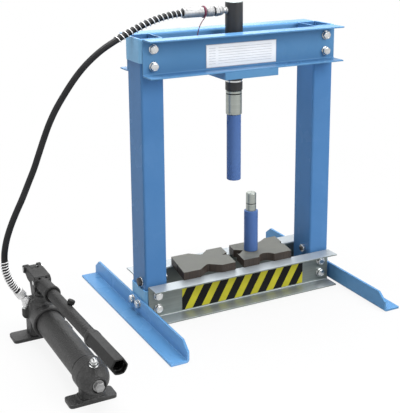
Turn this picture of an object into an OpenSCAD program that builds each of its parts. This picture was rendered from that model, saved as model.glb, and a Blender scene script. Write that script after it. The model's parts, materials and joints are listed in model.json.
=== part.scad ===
// Bench hydraulic press with a separate hand pump.
// Millimetres, +Z up. The origin is on the floor, under the middle of the press and pump together.
// The front of the press faces -Y; the pump stands to its left and points the same way.

/* [Placing] */
// Ram axis, across
press_x = 118.5; // [100:0.5:140]
// Ram axis, front to back
press_y = 90; // [80:0.5:100]
// Pump axis, left of the ram axis
pump_gap = 450; // [440:1:480]

/* [Frame] */
// Height of the frame
frame_h = 600; // [560:1:640]
// Outer half width over the uprights
post_out = 232; // [220:1:250]
// Width of an upright, seen from the front
post_w = 50; // [40:1:60]
// Depth of an upright, front to back
post_d = 70; // [60:1:80]
// Wall of an upright
post_wall = 3; // [2:0.5:4]
// Outer corner radius of an upright
post_r = 5; // [4:0.5:7]
// Thickness of the saddle brackets
saddle_t = 3; // [2:0.5:4]
// Height of the upper saddle brackets
saddle_top_h = 49; // [42:1:50]
// Height of the lower saddle brackets
saddle_bottom_h = 64; // [60:1:66]

/* [Beams] */
// Height of a beam channel
beam_h = 76; // [70:1:80]
// Flange width of a beam channel, over the web
beam_flange = 40; // [35:1:45]
// Sheet thickness of a beam channel
beam_t = 3; // [2.5:0.5:4]
// Outer bend radius of a beam channel
beam_r = 6; // [5:0.5:8]
// Length of an upper beam
upper_len = 460; // [440:1:462]
// Length of a lower beam
lower_len = 457; // [440:1:462]

/* [Feet] */
// Length of a foot
foot_len = 490; // [440:1:520]
// Height of a foot's upright leg
foot_h = 40; // [36:1:46]
// Width of a foot's flat leg
foot_w = 40; // [36:1:46]
// Sheet thickness of a foot
foot_t = 5; // [4:0.5:6]
// Corner cut of a foot's upright leg, along the foot
foot_cut = 22; // [15:1:30]

/* [Cylinder] */
// Thickness of the plate that carries the cylinder
plate_t = 15.5; // [12:0.5:20]
// Width of that plate
plate_w = 128; // [110:1:150]
// Outer diameter of the cylinder tube
tube_d = 38; // [36:0.5:42]
// Height of the cylinder's top face above the floor
tube_top = 660; // [640:1:680]
// Height of the hose port above the floor
port_z = 641.5; // [636:0.5:644]
// Diameter of the ram head
ram_d = 35.2; // [32:0.2:36]
// Length of the ram head
ram_len = 53; // [48:1:60]
// Diameter of the punch shanks
shank_d = 23.7; // [20:0.1:25]

/* [Punches] */
// Diameter of the punch bodies
punch_d = 31.4; // [28:0.2:34]
// Length of the long punch's body
long_len = 147; // [120:1:160]
// Length of the short punch's body
short_len = 95; // [80:1:110]

/* [Bearing blocks] */
// Thickness of the bearing blocks
block_t = 18; // [15:1:22]

/* [Pump] */
// Height of the oil tank's axis
tank_z = 50; // [46:1:56]
// Outer diameter of the oil tank
tank_d = 53; // [48:1:56]
// Height of the handle's axis halfway along it
handle_z = 127; // [124:0.5:130]
// Upward tilt of the handle, in degrees
handle_tilt = 1.7; // [0:0.1:2.5]
// Outer diameter of the handle tube
handle_d = 23.5; // [22:0.5:24]
// Distance of the handle's front end from the plunger
handle_reach = 425; // [400:1:440]

/* [Hose] */
// Outer diameter of the hose
hose_d = 13; // [12:0.5:15]
// Wire of the spring guards
guard_wire = 2.6; // [2:0.2:3]

/* [Hidden] */

$fn = 64;
post_x = post_out - post_w / 2;             // middle of an upright
web_y = post_d / 2 + saddle_t;              // inner face of a beam's web
face_y = web_y + beam_t;                    // outer face of a beam's web
tip_y = web_y + beam_flange;                // flange tips
leg_x = post_out + saddle_t;                // inner face of a foot
upper_z = frame_h - beam_h;                 // underside of the upper beams
// M10 fasteners
bolt_d = 10;
hole_d = 11;
washer_d = 20;
washer_t = 2;
head_af = 16;
head_h = 6.4;
nut_h = 8;
// heights of the bolts through the lower and the upper beams
lower_zs = [23, 52];
upper_zs = [upper_z + 20, upper_z + 55];
through_zs = concat(lower_zs, upper_zs);
// bolts through the feet, and the cross bolts through the uprights
foot_bolt_ys = [-15, 15];
foot_bolt_z = 29;
cross_y = -12;
cross_z = beam_h + 2;
// cylinder and ram
gland_top = 488;
gland_bottom = 469.5;
lock_ring_h = 4;
bore_d = 32;
rod_d = 22;
head_top = gland_bottom - 0.4;
head_bottom = head_top - ram_len;
socket_depth = 44;
stub_len = 8;                               // rod end in the ram head
shank_len = 42;
piston_bottom = 618;
piston_len = 17;
// hose line, from the port towards the left
coupler_ring_x = [-67.5, -50];
ferrule_x = [-121, -68];
blue = [0.30, 0.49, 0.72];
zinc = [0.70, 0.73, 0.74];
steel = [0.80, 0.82, 0.84];
black = [0.13, 0.13, 0.14];
iron = [0.24, 0.24, 0.25];

module at_press() translate([press_x, press_y, 0]) children();
module at_pump() translate([press_x - pump_gap, press_y, 0]) children();

// A rectangle with round corners, centred.
module round_rect(w, d, r) {
    square([w - 2 * r, d], center = true);
    square([w, d - 2 * r], center = true);
    for (x = [-1, 1], y = [-1, 1]) translate([x * (w / 2 - r), y * (d / 2 - r)]) circle(r = r);
}

// A bar along +X from a profile drawn in Y and Z.
module along_x(len) rotate([90, 0, 90]) linear_extrude(len, center = true) children();
// A turned piece whose axis is +Y, +X or -X.
module axis_y() rotate([-90, 0, 0]) children();
module axis_x() rotate([0, 90, 0]) children();

module hex(af, h) cylinder(d = af / cos(30), h = h, $fn = 6);

// Hex head with its washer face at z = 0, and a chamfered rim.
module hex_head(af, h) {
    intersection() {
        hex(af, h);
        cylinder(d1 = af / cos(30) + 2 * h, d2 = af * 0.94, h = h);
    }
}

// --- Frame ------------------------------------------------------------------------------------

// Bore pattern shared by uprights, saddles and beams: bolts front to back, feet and cross bolts.
module frame_bores(side) {
    for (z = through_zs) translate([side * post_x, 0, z]) axis_y()
        cylinder(d = hole_d, h = 200, center = true);
    for (y = foot_bolt_ys) translate([side * post_out, y, foot_bolt_z]) axis_x()
        cylinder(d = hole_d, h = 30, center = true);
    translate([side * post_x, cross_y, cross_z]) axis_x() cylinder(d = hole_d, h = post_w + 20, center = true);
}

module upright(side) {
    color(blue) at_press() difference() {
        translate([side * post_x, 0, 0]) linear_extrude(frame_h) difference() {
            round_rect(post_w, post_d, post_r);
            round_rect(post_w - 2 * post_wall, post_d - 2 * post_wall, post_r - post_wall);
        }
        frame_bores(side);
    }
}

// A U-shaped strap round the outer side of an upright, its legs held under the beam webs.
module saddle(side, z, h) {
    leg_end = post_w / 2 - 4;               // from the upright's middle, inwards
    color(blue) at_press() difference() {
        translate([side * post_x, 0, z]) linear_extrude(h) difference() {
            round_rect(post_w + 2 * saddle_t, post_d + 2 * saddle_t, post_r + saddle_t);
            round_rect(post_w, post_d, post_r);
            translate([-side * (leg_end + post_w), 0]) square([2 * post_w, 2 * post_d], center = true);
        }
        frame_bores(side);
    }
}

// Press-braked channel with its flanges to -Y. The web's inner face is at y = -web_y.
module channel(len) {
    along_x(len) mirror([1, 0]) translate([web_y, 0]) {
        translate([0, beam_r]) square([beam_t, beam_h - 2 * beam_r]);
        for (top = [0, 1]) translate([0, top * beam_h]) mirror([0, top]) {
            translate([beam_r, 0]) square([beam_flange - beam_r, beam_t]);
            translate([beam_r, beam_r]) intersection() {
                difference() {
                    circle(r = beam_r);
                    circle(r = beam_r - beam_t);
                }
                translate([-beam_r, -beam_r]) square(beam_r);
            }
        }
    }
}

module beam(z, len, bolt_zs, paint, rear) {
    color(paint) at_press() mirror([0, rear, 0]) difference() {
        translate([0, 0, z]) channel(len);
        for (side = [-1, 1], b = bolt_zs) translate([side * post_x, -web_y, b]) axis_y()
            cylinder(d = hole_d, h = 20, center = true);
    }
}

// Bent angle that runs front to back; the upright leg's top corners are cut off.
module foot(side) {
    inner_r = 2;
    color(blue) at_press() mirror([side > 0 ? 0 : 1, 0, 0]) difference() {
        translate([leg_x, 0, 0]) rotate([90, 0, 0]) linear_extrude(foot_len, center = true) {
            bend = foot_t + inner_r;
            translate([0, bend]) square([foot_t, foot_h - bend]);
            translate([bend, 0]) square([foot_w - bend, foot_t]);
            translate([bend, bend]) intersection() {
                difference() {
                    circle(r = bend);
                    circle(r = inner_r);
                }
                translate([-bend, -bend]) square(bend);
            }
        }
        for (end = [-1, 1]) translate([leg_x - 1, end * foot_len / 2, foot_h]) rotate([90, 0, 90])
            linear_extrude(foot_t + 2) polygon([[-end * foot_cut, 0], [-end * foot_cut, 1], [end, 1], [end, -17], [0, -17]]);
        for (y = foot_bolt_ys) translate([leg_x, y, foot_bolt_z]) axis_x()
            cylinder(d = hole_d, h = 30, center = true);
    }
}

module upright_left() upright(-1);
module upright_right() upright(1);
module saddle_top_left() saddle(-1, frame_h - saddle_top_h, saddle_top_h);
module saddle_top_right() saddle(1, frame_h - saddle_top_h, saddle_top_h);
module saddle_bottom_left() saddle(-1, 0, saddle_bottom_h);
module saddle_bottom_right() saddle(1, 0, saddle_bottom_h);
module upper_beam_front() beam(upper_z, upper_len, upper_zs, blue, 0);
module upper_beam_rear() beam(upper_z, upper_len, upper_zs, blue, 1);
module lower_beam_front() beam(0, lower_len, lower_zs, zinc, 0);
module lower_beam_rear() beam(0, lower_len, lower_zs, zinc, 1);
module foot_left() foot(-1);
module foot_right() foot(1);

// Bolts run along +Z here, head at the bottom, with the head's bearing face at z = 0.
module bolt(len) {
    mirror([0, 0, 1]) hex_head(head_af, head_h);
    cylinder(d = bolt_d, h = len);
}

module washer() difference() {
    cylinder(d = washer_d, h = washer_t);
    translate([0, 0, -1]) cylinder(d = bolt_d, h = washer_t + 2);
}

module nut() difference() {
    intersection() {
        hex(head_af, nut_h);
        cylinder(d1 = head_af * 0.94, d2 = head_af / cos(30) + nut_h, h = nut_h);
        cylinder(d1 = head_af / cos(30) + nut_h, d2 = head_af * 0.94, h = nut_h);
    }
    translate([0, 0, -1]) cylinder(d = bolt_d, h = nut_h + 2);
}

// Places each kind of fastener; children are drawn along +Z from the seat.
module through_seats(y_seat) for (side = [-1, 1], z = through_zs)
    translate([side * post_x, y_seat, z]) axis_y() children();
module foot_seats(x_seat) for (side = [-1, 1], y = foot_bolt_ys)
    mirror([side > 0 ? 0 : 1, 0, 0]) translate([x_seat, y, foot_bolt_z]) rotate([0, -90, 0]) children();
module cross_seats(x_seat) for (side = [-1, 1])
    mirror([side > 0 ? 0 : 1, 0, 0]) translate([x_seat, cross_y, cross_z]) rotate([0, -90, 0]) children();

foot_head_x = leg_x + foot_t + washer_t;
foot_nut_x = post_out - post_wall;
cross_head_x = post_out + washer_t;
cross_nut_x = post_out - post_w;

module through_bolts() color(steel) at_press()
    through_seats(-face_y - washer_t) bolt(2 * (face_y + washer_t) + nut_h + 3);
module foot_bolts() color(steel) at_press()
    foot_seats(foot_head_x) bolt(foot_head_x - foot_nut_x + nut_h + 2);
module cross_bolts() color(steel) at_press()
    cross_seats(cross_head_x) bolt(cross_head_x - cross_nut_x + nut_h + 3);
module washers() color(steel) at_press() {
    through_seats(-face_y - washer_t) washer();
    through_seats(face_y) washer();
    foot_seats(foot_head_x) washer();
    cross_seats(cross_head_x) washer();
}
module hex_nuts() color(steel) at_press() {
    through_seats(face_y + washer_t) nut();
    foot_seats(foot_nut_x) nut();
    cross_seats(cross_nut_x) nut();
}

module data_plate() color([0.95, 0.96, 0.97]) at_press()
    translate([-89, -face_y - 0.8, upper_z + beam_r + 0.2]) cube([169, 0.8, 48.5]);

module hazard_strip() color([0.85, 0.78, 0.10]) at_press()
    translate([-150, -face_y - 0.4, beam_r + 0.5]) cube([309, 0.4, beam_h - 2 * beam_r - 1]);

// --- Cylinder and ram -------------------------------------------------------------------------

module cylinder_plate() color(blue) at_press() difference() {
    translate([0, 0, upper_z - plate_t]) linear_extrude(plate_t) round_rect(plate_w, 2 * tip_y, 2);
    translate([0, 0, upper_z - plate_t - 1]) cylinder(d = tube_d, h = plate_t + 2);
}

module cylinder_tube() color(black) at_press() difference() {
    translate([0, 0, gland_top + lock_ring_h]) cylinder(d = tube_d, h = tube_top - 2 - gland_top - lock_ring_h);
    translate([0, 0, gland_top]) cylinder(d = bore_d, h = 200);
    translate([-tube_d / 2, 0, port_z]) axis_x() cylinder(d = 12, h = 16, center = true);
    translate([-tube_d / 2 - 9, 0, port_z]) axis_x() cylinder(d = 15, h = 20, center = true);
}

module cylinder_cap() color(zinc) at_press() {
    translate([0, 0, tube_top - 12]) cylinder(d = bore_d, h = 10);
    translate([0, 0, tube_top - 2]) cylinder(d1 = tube_d, d2 = tube_d - 3, h = 2);
}

// Screwed-in gland that guides the ram.
module cylinder_gland() color(black) at_press() difference() {
    union() {
        translate([0, 0, gland_bottom]) cylinder(d1 = tube_d - 2.4, d2 = tube_d - 0.6, h = 1.5);
        translate([0, 0, gland_bottom + 1.5]) cylinder(d = tube_d - 0.6, h = gland_top - gland_bottom - 1.5);
        translate([0, 0, gland_top]) cylinder(d = bore_d, h = lock_ring_h + 5);
    }
    translate([0, 0, gland_bottom - 1]) cylinder(d = rod_d + 0.1, h = 60);
}

module lock_ring() color(steel) at_press() difference() {
    translate([0, 0, gland_top]) cylinder(d = tube_d - 2, h = lock_ring_h);
    translate([0, 0, gland_top - 1]) cylinder(d = bore_d, h = lock_ring_h + 2);
}

// Nipple screwed into the cylinder's side, with its flange on the spot face.
module port_nipple() color(steel) at_press() translate([0, 0, port_z]) difference() {
    union() {
        translate([-18, 0, 0]) axis_x() cylinder(d = 12, h = 3);
        translate([-21.5, 0, 0]) axis_x() cylinder(d = 15, h = 3.5);
        translate([-27, 0, 0]) axis_x() cylinder(d = 11.5, h = 6);
    }
    translate([-28, 0, 0]) axis_x() cylinder(d = 6, h = 20);
}

module coupler_body() color(zinc) at_press() translate([0, 0, port_z]) difference() {
    union() {
        translate([-34, 0, 0]) axis_x() cylinder(d1 = 20.5, d2 = 15, h = 7);
        translate([-38.5, 0, 0]) axis_x() cylinder(d = 20.5, h = 4.5);
        translate([-47.5, 0, 0]) axis_x() hex(19.5, 9);
        translate([ferrule_x[1], 0, 0]) axis_x() cylinder(d = 15, h = -47.5 - ferrule_x[1]);
    }
    translate([-80, 0, 0]) axis_x() cylinder(d = 8, h = 60);
}

module coupler_seal() color(black) at_press() translate([-49.6, 0, port_z]) axis_x() difference() {
    cylinder(d = 19.6, h = 2.1);
    translate([0, 0, -1]) cylinder(d = 15, h = 5);
}

// Knurled ring that locks the two halves; it turns freely on the coupler's body.
module coupler_ring() color(zinc) at_press() translate([coupler_ring_x[0], 0, port_z]) axis_x() difference() {
    h = coupler_ring_x[1] - coupler_ring_x[0];
    union() {
        cylinder(d1 = 19, d2 = 21, h = 1.5);
        translate([0, 0, 1.5]) cylinder(d = 21, h = h - 3);
        translate([0, 0, h - 1.5]) cylinder(d1 = 21, d2 = 19, h = 1.5);
        for (z = [3.5, 8.75, 14]) translate([0, 0, z - 1]) cylinder(d = 21.8, h = 2);
    }
    translate([0, 0, -1]) cylinder(d = 15.1, h = h + 2);
}

module ram_rod() color(steel) at_press() {
    translate([0, 0, head_top - stub_len]) cylinder(d = 16, h = stub_len);
    translate([0, 0, head_top]) cylinder(d = rod_d, h = piston_bottom - head_top);
    translate([0, 0, piston_bottom]) difference() {
        cylinder(d = bore_d - 0.1, h = piston_len);
        translate([0, 0, 6]) rotate_extrude() translate([bore_d / 2 - 3, 0]) square([5, 6]);
    }
}

module piston_seal() color(black) at_press() translate([0, 0, piston_bottom + 6]) difference() {
    cylinder(d = bore_d - 0.1, h = 6);
    translate([0, 0, -1]) cylinder(d = bore_d - 6, h = 8);
}

// Turned profile of the ram head: groove near the top, rounded lower rim, socket for a shank.
module ram_head() color(steel) at_press() translate([0, 0, head_bottom]) difference() {
    rotate_extrude() {
        r = ram_d / 2;
        translate([0, 2.5]) square([r, ram_len - 2.5 - 1]);
        square([r - 2.5, 3]);
        translate([r - 2.5, 2.5]) circle(r = 2.5);
        translate([0, ram_len - 1.01]) polygon([[0, 0], [r, 0], [r - 1, 1.01], [0, 1.01]]);
    }
    translate([0, 0, ram_len - 8]) rotate_extrude() translate([ram_d / 2 - 1.6, 0]) square([3, 2.2]);
    translate([0, 0, -1]) cylinder(d = shank_d + 0.5, h = 1 + socket_depth);
    translate([0, 0, ram_len - stub_len]) cylinder(d = 16, h = stub_len + 1);
}

module ram_head_ring() color(black) at_press() translate([0, 0, head_bottom + ram_len - 8])
    rotate_extrude() translate([ram_d / 2 - 1.6, 0]) square([1.3, 2.2]);

// Punch standing on z = 0: round body with two crimp dimples, a shank and a snap-ring groove.
module punch(len, dimples) {
    r = punch_d / 2;
    sr = shank_d / 2;
    color(blue) difference() {
        rotate_extrude() {
            polygon([[0, 0], [r - 1, 0], [r, 1], [r, len - 1], [r - 1, len], [0, len]]);
            translate([0, len - 1]) square([sr - 0.25, shank_len - 1.5]);
            translate([0, len + shank_len - 2.6]) polygon([[0, 0], [sr - 0.25, 0], [sr - 2.4, 2.6], [0, 2.6]]);
        }
        for (a = dimples) rotate(a) translate([r + 3.6, 0, len - 16]) sphere(r = 6, $fn = 32);
        translate([0, 0, len + 15.5]) rotate_extrude() translate([sr - 1.7, 0]) square([4, 1.8]);
    }
}

module snap_ring() color(black) difference() {
    rotate_extrude() translate([shank_d / 2 - 1.7, 0]) square([1.4, 1.8]);
    rotate(-60) translate([0, -2, -1]) cube([20, 4, 4]);
}

module punch_long() at_press() translate([0, 0, head_bottom - long_len]) punch(long_len, [180, 300]);
module punch_long_ring() at_press() translate([0, 0, head_bottom + 15.5]) snap_ring();

short_x = 46;
short_y = 2;
module punch_short() at_press() translate([short_x, short_y, beam_h + block_t])
    punch(short_len, [180, 300]);
module punch_short_ring() at_press() translate([short_x, short_y, beam_h + block_t + short_len + 15.5]) snap_ring();

// --- Bearing blocks ---------------------------------------------------------------------------

// Notch that opens towards -Y at y = 0: a vee with a flat floor.
module vee(width, depth, floor) {
    flare = (width - floor) / 2 / depth;
    polygon([[-width / 2 - flare, -1], [-floor / 2, depth], [floor / 2, depth], [width / 2 + flare, -1]]);
}

// Round notch that opens towards -Y, from its width and depth at y = 0.
module arch(width, depth) {
    r = (width * width / 4 + depth * depth) / 2 / depth;
    translate([0, depth - r]) circle(r = r);
}

// Plate with slanted ends. Its children are notches for the front, the rear, the left and the right
// side, each at the distance that at gives along its side.
module bearing_block(middle, half_len, half_depth, at) {
    slant = 7.5;
    color([0.36, 0.33, 0.31]) at_press() translate([middle[0], middle[1], beam_h])
    linear_extrude(block_t) difference() {
        polygon([
            [-half_len - slant, -half_depth], [half_len - slant, -half_depth],
            [half_len + slant, half_depth], [-half_len + slant, half_depth]
        ]);
        translate([at[0], -half_depth]) children(0);
        translate([at[1], half_depth]) rotate(180) children(1);
        translate([-half_len + slant * at[2] / half_depth, at[2]]) rotate(-90) children(2);
        translate([half_len + slant * at[3] / half_depth, at[3]]) rotate(90) children(3);
    }
}

module bearing_block_left() bearing_block([-77, 0.5], 63.5, 47.5, [-4, 10, 0, 5]) {
    vee(52, 18, 6);
    vee(46, 18, 6);
    vee(4, 1, 1);
    vee(12, 13, 0);
}
module bearing_block_right() bearing_block([70, 1.5], 62, 47.5, [-10, 11, 4, 4]) {
    arch(39, 15);
    vee(58, 16, 10);
    vee(30, 19, 0);
    vee(16, 6, 2);
}

// --- Hose line --------------------------------------------------------------------------------

// The hose's centre line, from the coupler to the pump's elbow, in even steps.
route = [
    [-118, 0, 641.5], [-149, 0, 639], [-180, 0, 632.5], [-210, 0, 622.5], [-239, 0, 610.5],
    [-267, 0, 597], [-295, 0, 582], [-320, 1, 564], [-343, 2, 543], [-364, 2, 519], [-382, 3, 494],
    [-399, 4, 468], [-414, 4, 440], [-426, 5, 411], [-437, 6, 382], [-448, 7, 353], [-461, 8, 324],
    [-474, 8, 296], [-488, 9, 268], [-501, 10, 239], [-511, 11, 209], [-516, 12, 178],
    [-514, 12, 147], [-504, 12, 119], [-489, 12, 97]
];
route_end = len(route) - 1;
function point_at(i) =
    i < 0 ? 2 * route[0] - route[1] :
    i > route_end ? 2 * route[route_end] - route[route_end - 1] : route[i];
function blend(p, q, r, s, t) =
    0.5 * (2 * q + (r - p) * t + (2 * p - 5 * q + 4 * r - s) * t * t + (3 * q - p - 3 * r + s) * t * t * t);
function on_route(u) = let (i = min(max(floor(u), 0), route_end - 1))
    blend(point_at(i - 1), point_at(i), point_at(i + 1), point_at(i + 2), u - i);
function unit(v) = v / norm(v);
function heading(u) = unit(on_route(u + 0.02) - on_route(u - 0.02));
// A point beside the centre line: angle 0 is towards +Y, and radius is the distance from it.
function beside(u, angle, radius) = let (t = heading(u), s = unit(cross(t, [0, 1, 0])), w = cross(s, t))
    on_route(u) + radius * (cos(angle) * w + sin(angle) * s);

// Closed tube through rings of equal point count.
module skin(rings) {
    n = len(rings[0]);
    m = len(rings);
    polyhedron(
        points = [for (r = rings) each r],
        faces = concat(
            [[for (i = [n - 1:-1:0]) i]],
            [for (k = [0:m - 2], i = [0:n - 1])
                [k * n + i, k * n + (i + 1) % n, (k + 1) * n + (i + 1) % n, (k + 1) * n + i]],
            [[for (i = [0:n - 1]) (m - 1) * n + i]]
        )
    );
}

module hose_tube(from, to, radius, steps, sides) skin([
    for (k = [0:steps]) let (u = from + (to - from) * k / steps)
        [for (i = [0:sides - 1]) beside(u, i * 360 / sides, radius)]
]);

// Round wire wound on the hose; the wire's own ring is square to the way it runs.
module hose_spring(from, to, turns, per_turn, sides) {
    coil_r = hose_d / 2 + guard_wire / 2 + 0.3;
    steps = turns * per_turn;
    function place(k) = beside(from + (to - from) * k / steps, k * 360 / per_turn, coil_r);
    skin([for (k = [0:steps]) let (
            u = from + (to - from) * k / steps,
            run = unit(place(k + 0.2) - place(k - 0.2)),
            out = unit(place(k) - on_route(u)),
            across = unit(cross(run, out)),
            up = cross(across, run)
        ) [for (i = [0:sides - 1]) place(k) + guard_wire / 2 * (cos(i * 360 / sides) * up + sin(i * 360 / sides) * across)]
    ]);
}

module hose_ferrule_top() color(steel) at_press() translate([ferrule_x[0], 0, port_z]) axis_x() difference() {
    h = ferrule_x[1] - ferrule_x[0];
    union() {
        cylinder(d1 = 20.5, d2 = 22, h = 2);
        translate([0, 0, 2]) cylinder(d1 = 22, d2 = 21, h = h - 4);
        translate([0, 0, h - 2]) cylinder(d1 = 21, d2 = 18, h = 2);
    }
    translate([0, 0, -1]) cylinder(d = hose_d, h = 4);
    cylinder(d = 8, h = h + 1);
}
module hose() color(black) at_press() hose_tube(0, route_end, hose_d / 2, 48, 10);
module hose_guard_top() color(steel) at_press() hose_spring(0.14, 5.1, 15, 10, 5);
module hose_guard_bottom() color(steel) at_press() hose_spring(21.2, 23.6, 19, 10, 5);

elbow = [-28, 12, 80];                       // middle of the elbow, from the pump's plunger
hose_lean = -34;                             // lean of the hose's lower end, towards the left
module toward_hose() translate(elbow) rotate([0, hose_lean, 0]) children();

module hose_ferrule_bottom() color(steel) at_pump() toward_hose() translate([0, 0, 9]) difference() {
    union() {
        cylinder(d1 = 16, d2 = 20, h = 3);
        translate([0, 0, 3]) cylinder(d = 20, h = 15);
    }
    translate([0, 0, 11.2]) cylinder(d = hose_d, h = 20);
    translate([0, 0, -1]) cylinder(d = 6, h = 20);
}
module hose_elbow() color(steel) at_pump() difference() {
    union() {
        translate(elbow) sphere(d = 18.5);
        toward_hose() cylinder(d = 14, h = 9);
        translate([elbow[0], elbow[1], 68]) cylinder(d = 15, h = 10);
    }
    translate([elbow[0], elbow[1], 60]) cylinder(d = 6, h = 20);
    translate(elbow) sphere(d = 8, $fn = 32);
    toward_hose() cylinder(d = 6, h = 20);
}
module hose_adapter() color(steel) at_pump() translate([elbow[0], elbow[1], 62]) difference() {
    union() {
        hex(14, 3.5);
        translate([0, 0, 3.5]) cylinder(d = 11, h = 2.5);
    }
    translate([0, 0, -1]) cylinder(d = 6, h = 12);
}

// --- Pump -------------------------------------------------------------------------------------

lip_y = [-54, -40];                          // collar of the head round the tank's rear end
cap_y = [-295, -268];                        // collar of the front end cap; its dome starts in front
nose_y = -325;                               // front of the boss on the dome
anchor = [0, 45, 132];                       // lever pin in the head's rear lug
plunger_y = -12;
plunger_pin = [0, plunger_y, 123];           // lever pin in the plunger's eye
pin_d = 7;
lug_w = 16;                                  // width of the lug and of the plunger's eye
lever_w = 34;
front_plug = [0, nose_y, 47];                // middle of the boss for the drain plug
filler = [0.5, -300, 76];                    // filler plug's seat in the end cap
filler_lean = 12;
socket_end = 38;                             // handle's rear end, in front of the plunger's bore line
grip_mouth = 18;                             // the grip's end in front of the handle tube
screw_reach = 168;                           // clamp screw, in front of the pump's axis
screw_lean = 28;                             // its lean towards the press

// Stands a piece on the handle's axis, the given distance in front of the plunger, facing back.
module on_handle(reach) at_pump()
    translate([0, -reach, handle_z + (reach - 230) * tan(handle_tilt)]) rotate([-90 - handle_tilt, 0, 0]) children();

module pump_head() color(iron) at_pump() difference() {
    union() {
        // collar round the tank, and the shoulder behind it
        translate([0, lip_y[0], tank_z]) axis_y() cylinder(d = 65, h = lip_y[1] - lip_y[0]);
        translate([0, lip_y[1], tank_z]) axis_y() cylinder(d1 = 62, d2 = 54, h = 36);
        // body, and the tower round the plunger
        translate([0, 8, 7]) linear_extrude(73) round_rect(52, 44, 8);
        translate([0, plunger_y, tank_z]) cylinder(d = 44, h = 30);
        translate([0, plunger_y, 80]) cylinder(d1 = 44, d2 = 34, h = 6);
        // port boss on the left
        translate([elbow[0], elbow[1], 46]) cylinder(d = 17, h = 16);
        translate([-20, elbow[1], 46]) cylinder(d = 17, h = 14);
        translate([elbow[0], elbow[1], 40]) cylinder(d1 = 9, d2 = 17, h = 6);
        // rear lug
        translate([-lug_w / 2, 0, 0]) rotate([90, 0, 90]) linear_extrude(lug_w)
            polygon([
                [11, 70], [29, 62], [39, 76], [46, 94], [51, 112], [51.1, 132], [38.9, 132],
                [33, 120], [13, 96]
            ]);
        translate(anchor) axis_x() cylinder(d = 12.2, h = lug_w, center = true);
    }
    // tank seat, plunger bore, pin hole, oil port and the spot face round it
    translate([0, lip_y[0] - 1, tank_z]) axis_y() cylinder(d = tank_d, h = 9);
    translate([0, plunger_y, 30]) cylinder(d = 16.1, h = 80);
    translate(anchor) axis_x() cylinder(d = pin_d + 0.1, h = 40, center = true);
    translate([elbow[0], elbow[1], 50]) cylinder(d = 6, h = 20);
    translate([elbow[0], elbow[1], 62]) cylinder(d = 19, h = 40);
}

module pump_gland() color(black) at_pump() translate([0, plunger_y, 86]) difference() {
    union() {
        hex(24, 7);
        translate([0, 0, 7]) cylinder(d1 = 21, d2 = 19, h = 2);
    }
    translate([0, 0, -1]) cylinder(d = 16.1, h = 12);
}

// Plunger with a flattened eye; its slot lets the lever's pin swing a little front to back.
module pump_plunger() color(steel) at_pump() translate([0, plunger_y, 0]) difference() {
    slot_h = pin_d + 1.2;
    slot_y = [-1.2, 5.7];
    eye_z = plunger_pin[2];
    union() {
        translate([0, 0, 40]) cylinder(d = 16, h = eye_z - 48);
        intersection() {
            translate([0, 0, eye_z - 17]) cylinder(d = 24, h = 26);
            translate([-lug_w / 2, -20, 90]) cube([lug_w, 40, 60]);
            translate([0, 0, eye_z - 5]) axis_x() cylinder(d = 28, h = 40, center = true);
        }
    }
    for (y = slot_y) translate([0, y, eye_z]) axis_x() cylinder(d = slot_h, h = 40, center = true);
    translate([-20, slot_y[0], eye_z - slot_h / 2]) cube([40, slot_y[1] - slot_y[0], slot_h]);
}

module tank_tube() color(iron) at_pump() translate([0, cap_y[1] - 22, tank_z]) axis_y() difference() {
    h = lip_y[0] - cap_y[1] + 30;
    cylinder(d = tank_d, h = h);
    translate([0, 0, -1]) cylinder(d = tank_d - 6, h = h + 2);
}

// Domed end cap cast with its own foot; a groove parts its dome from the collar round the tank.
module tank_end_cap() color(iron) at_pump() difference() {
    dome_r = 29.5;
    foot_y = -280;
    union() {
        translate([0, cap_y[0], tank_z]) axis_y() cylinder(d = 61, h = cap_y[1] - cap_y[0] - 1);
        translate([0, cap_y[1] - 1, tank_z]) axis_y() cylinder(d1 = 61, d2 = 59, h = 1);
        translate([0, cap_y[0], tank_z]) sphere(r = dome_r);
        translate(front_plug) axis_y() cylinder(d1 = 31, d2 = 34, h = 12);
        translate(filler) rotate([filler_lean, 0, 0]) translate([0, 0, -16]) cylinder(d = 19, h = 16);
        translate([0, foot_y, 7]) linear_extrude(30) round_rect(40, 30, 8);
        translate([0, foot_y, 7]) linear_extrude(3) round_rect(48, 34, 8);
        translate([0, foot_y, 0]) linear_extrude(7.5) round_rect(89, 36, 6);
    }
    translate([0, cap_y[0] - 0.6, tank_z]) axis_y() difference() {
        cylinder(d = 66, h = 1.2);
        translate([0, 0, -1]) cylinder(d = 57, h = 4);
    }
    translate([0, cap_y[1] - 22, tank_z]) axis_y() cylinder(d = tank_d, h = 60);
    translate(front_plug + [0, -1, 0]) axis_y() cylinder(d = 25, h = 5);
    translate(filler) rotate([filler_lean, 0, 0]) {
        translate([0, 0, -4]) cylinder(d = 9, h = 6);
        cylinder(d = 19, h = 20);
    }
}

module tank_filler_plug() color(steel) at_pump() translate(filler) rotate([filler_lean, 0, 0]) {
    translate([0, 0, -4]) cylinder(d = 9, h = 4);
    hex_head(14, 7);
    translate([0, 0, 7]) cylinder(d = 12, h = 4);
    translate([0, 0, 11]) cylinder(d1 = 12, d2 = 7, h = 3);
}

module tank_front_plug() color(steel) at_pump() translate(front_plug + [0, 4, 0]) rotate([90, 0, 0])
    hex_head(17, 10);

module pump_foot_rear() color(iron) at_pump() translate([0, 7, 0]) linear_extrude(7) round_rect(124, 43, 7);

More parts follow.
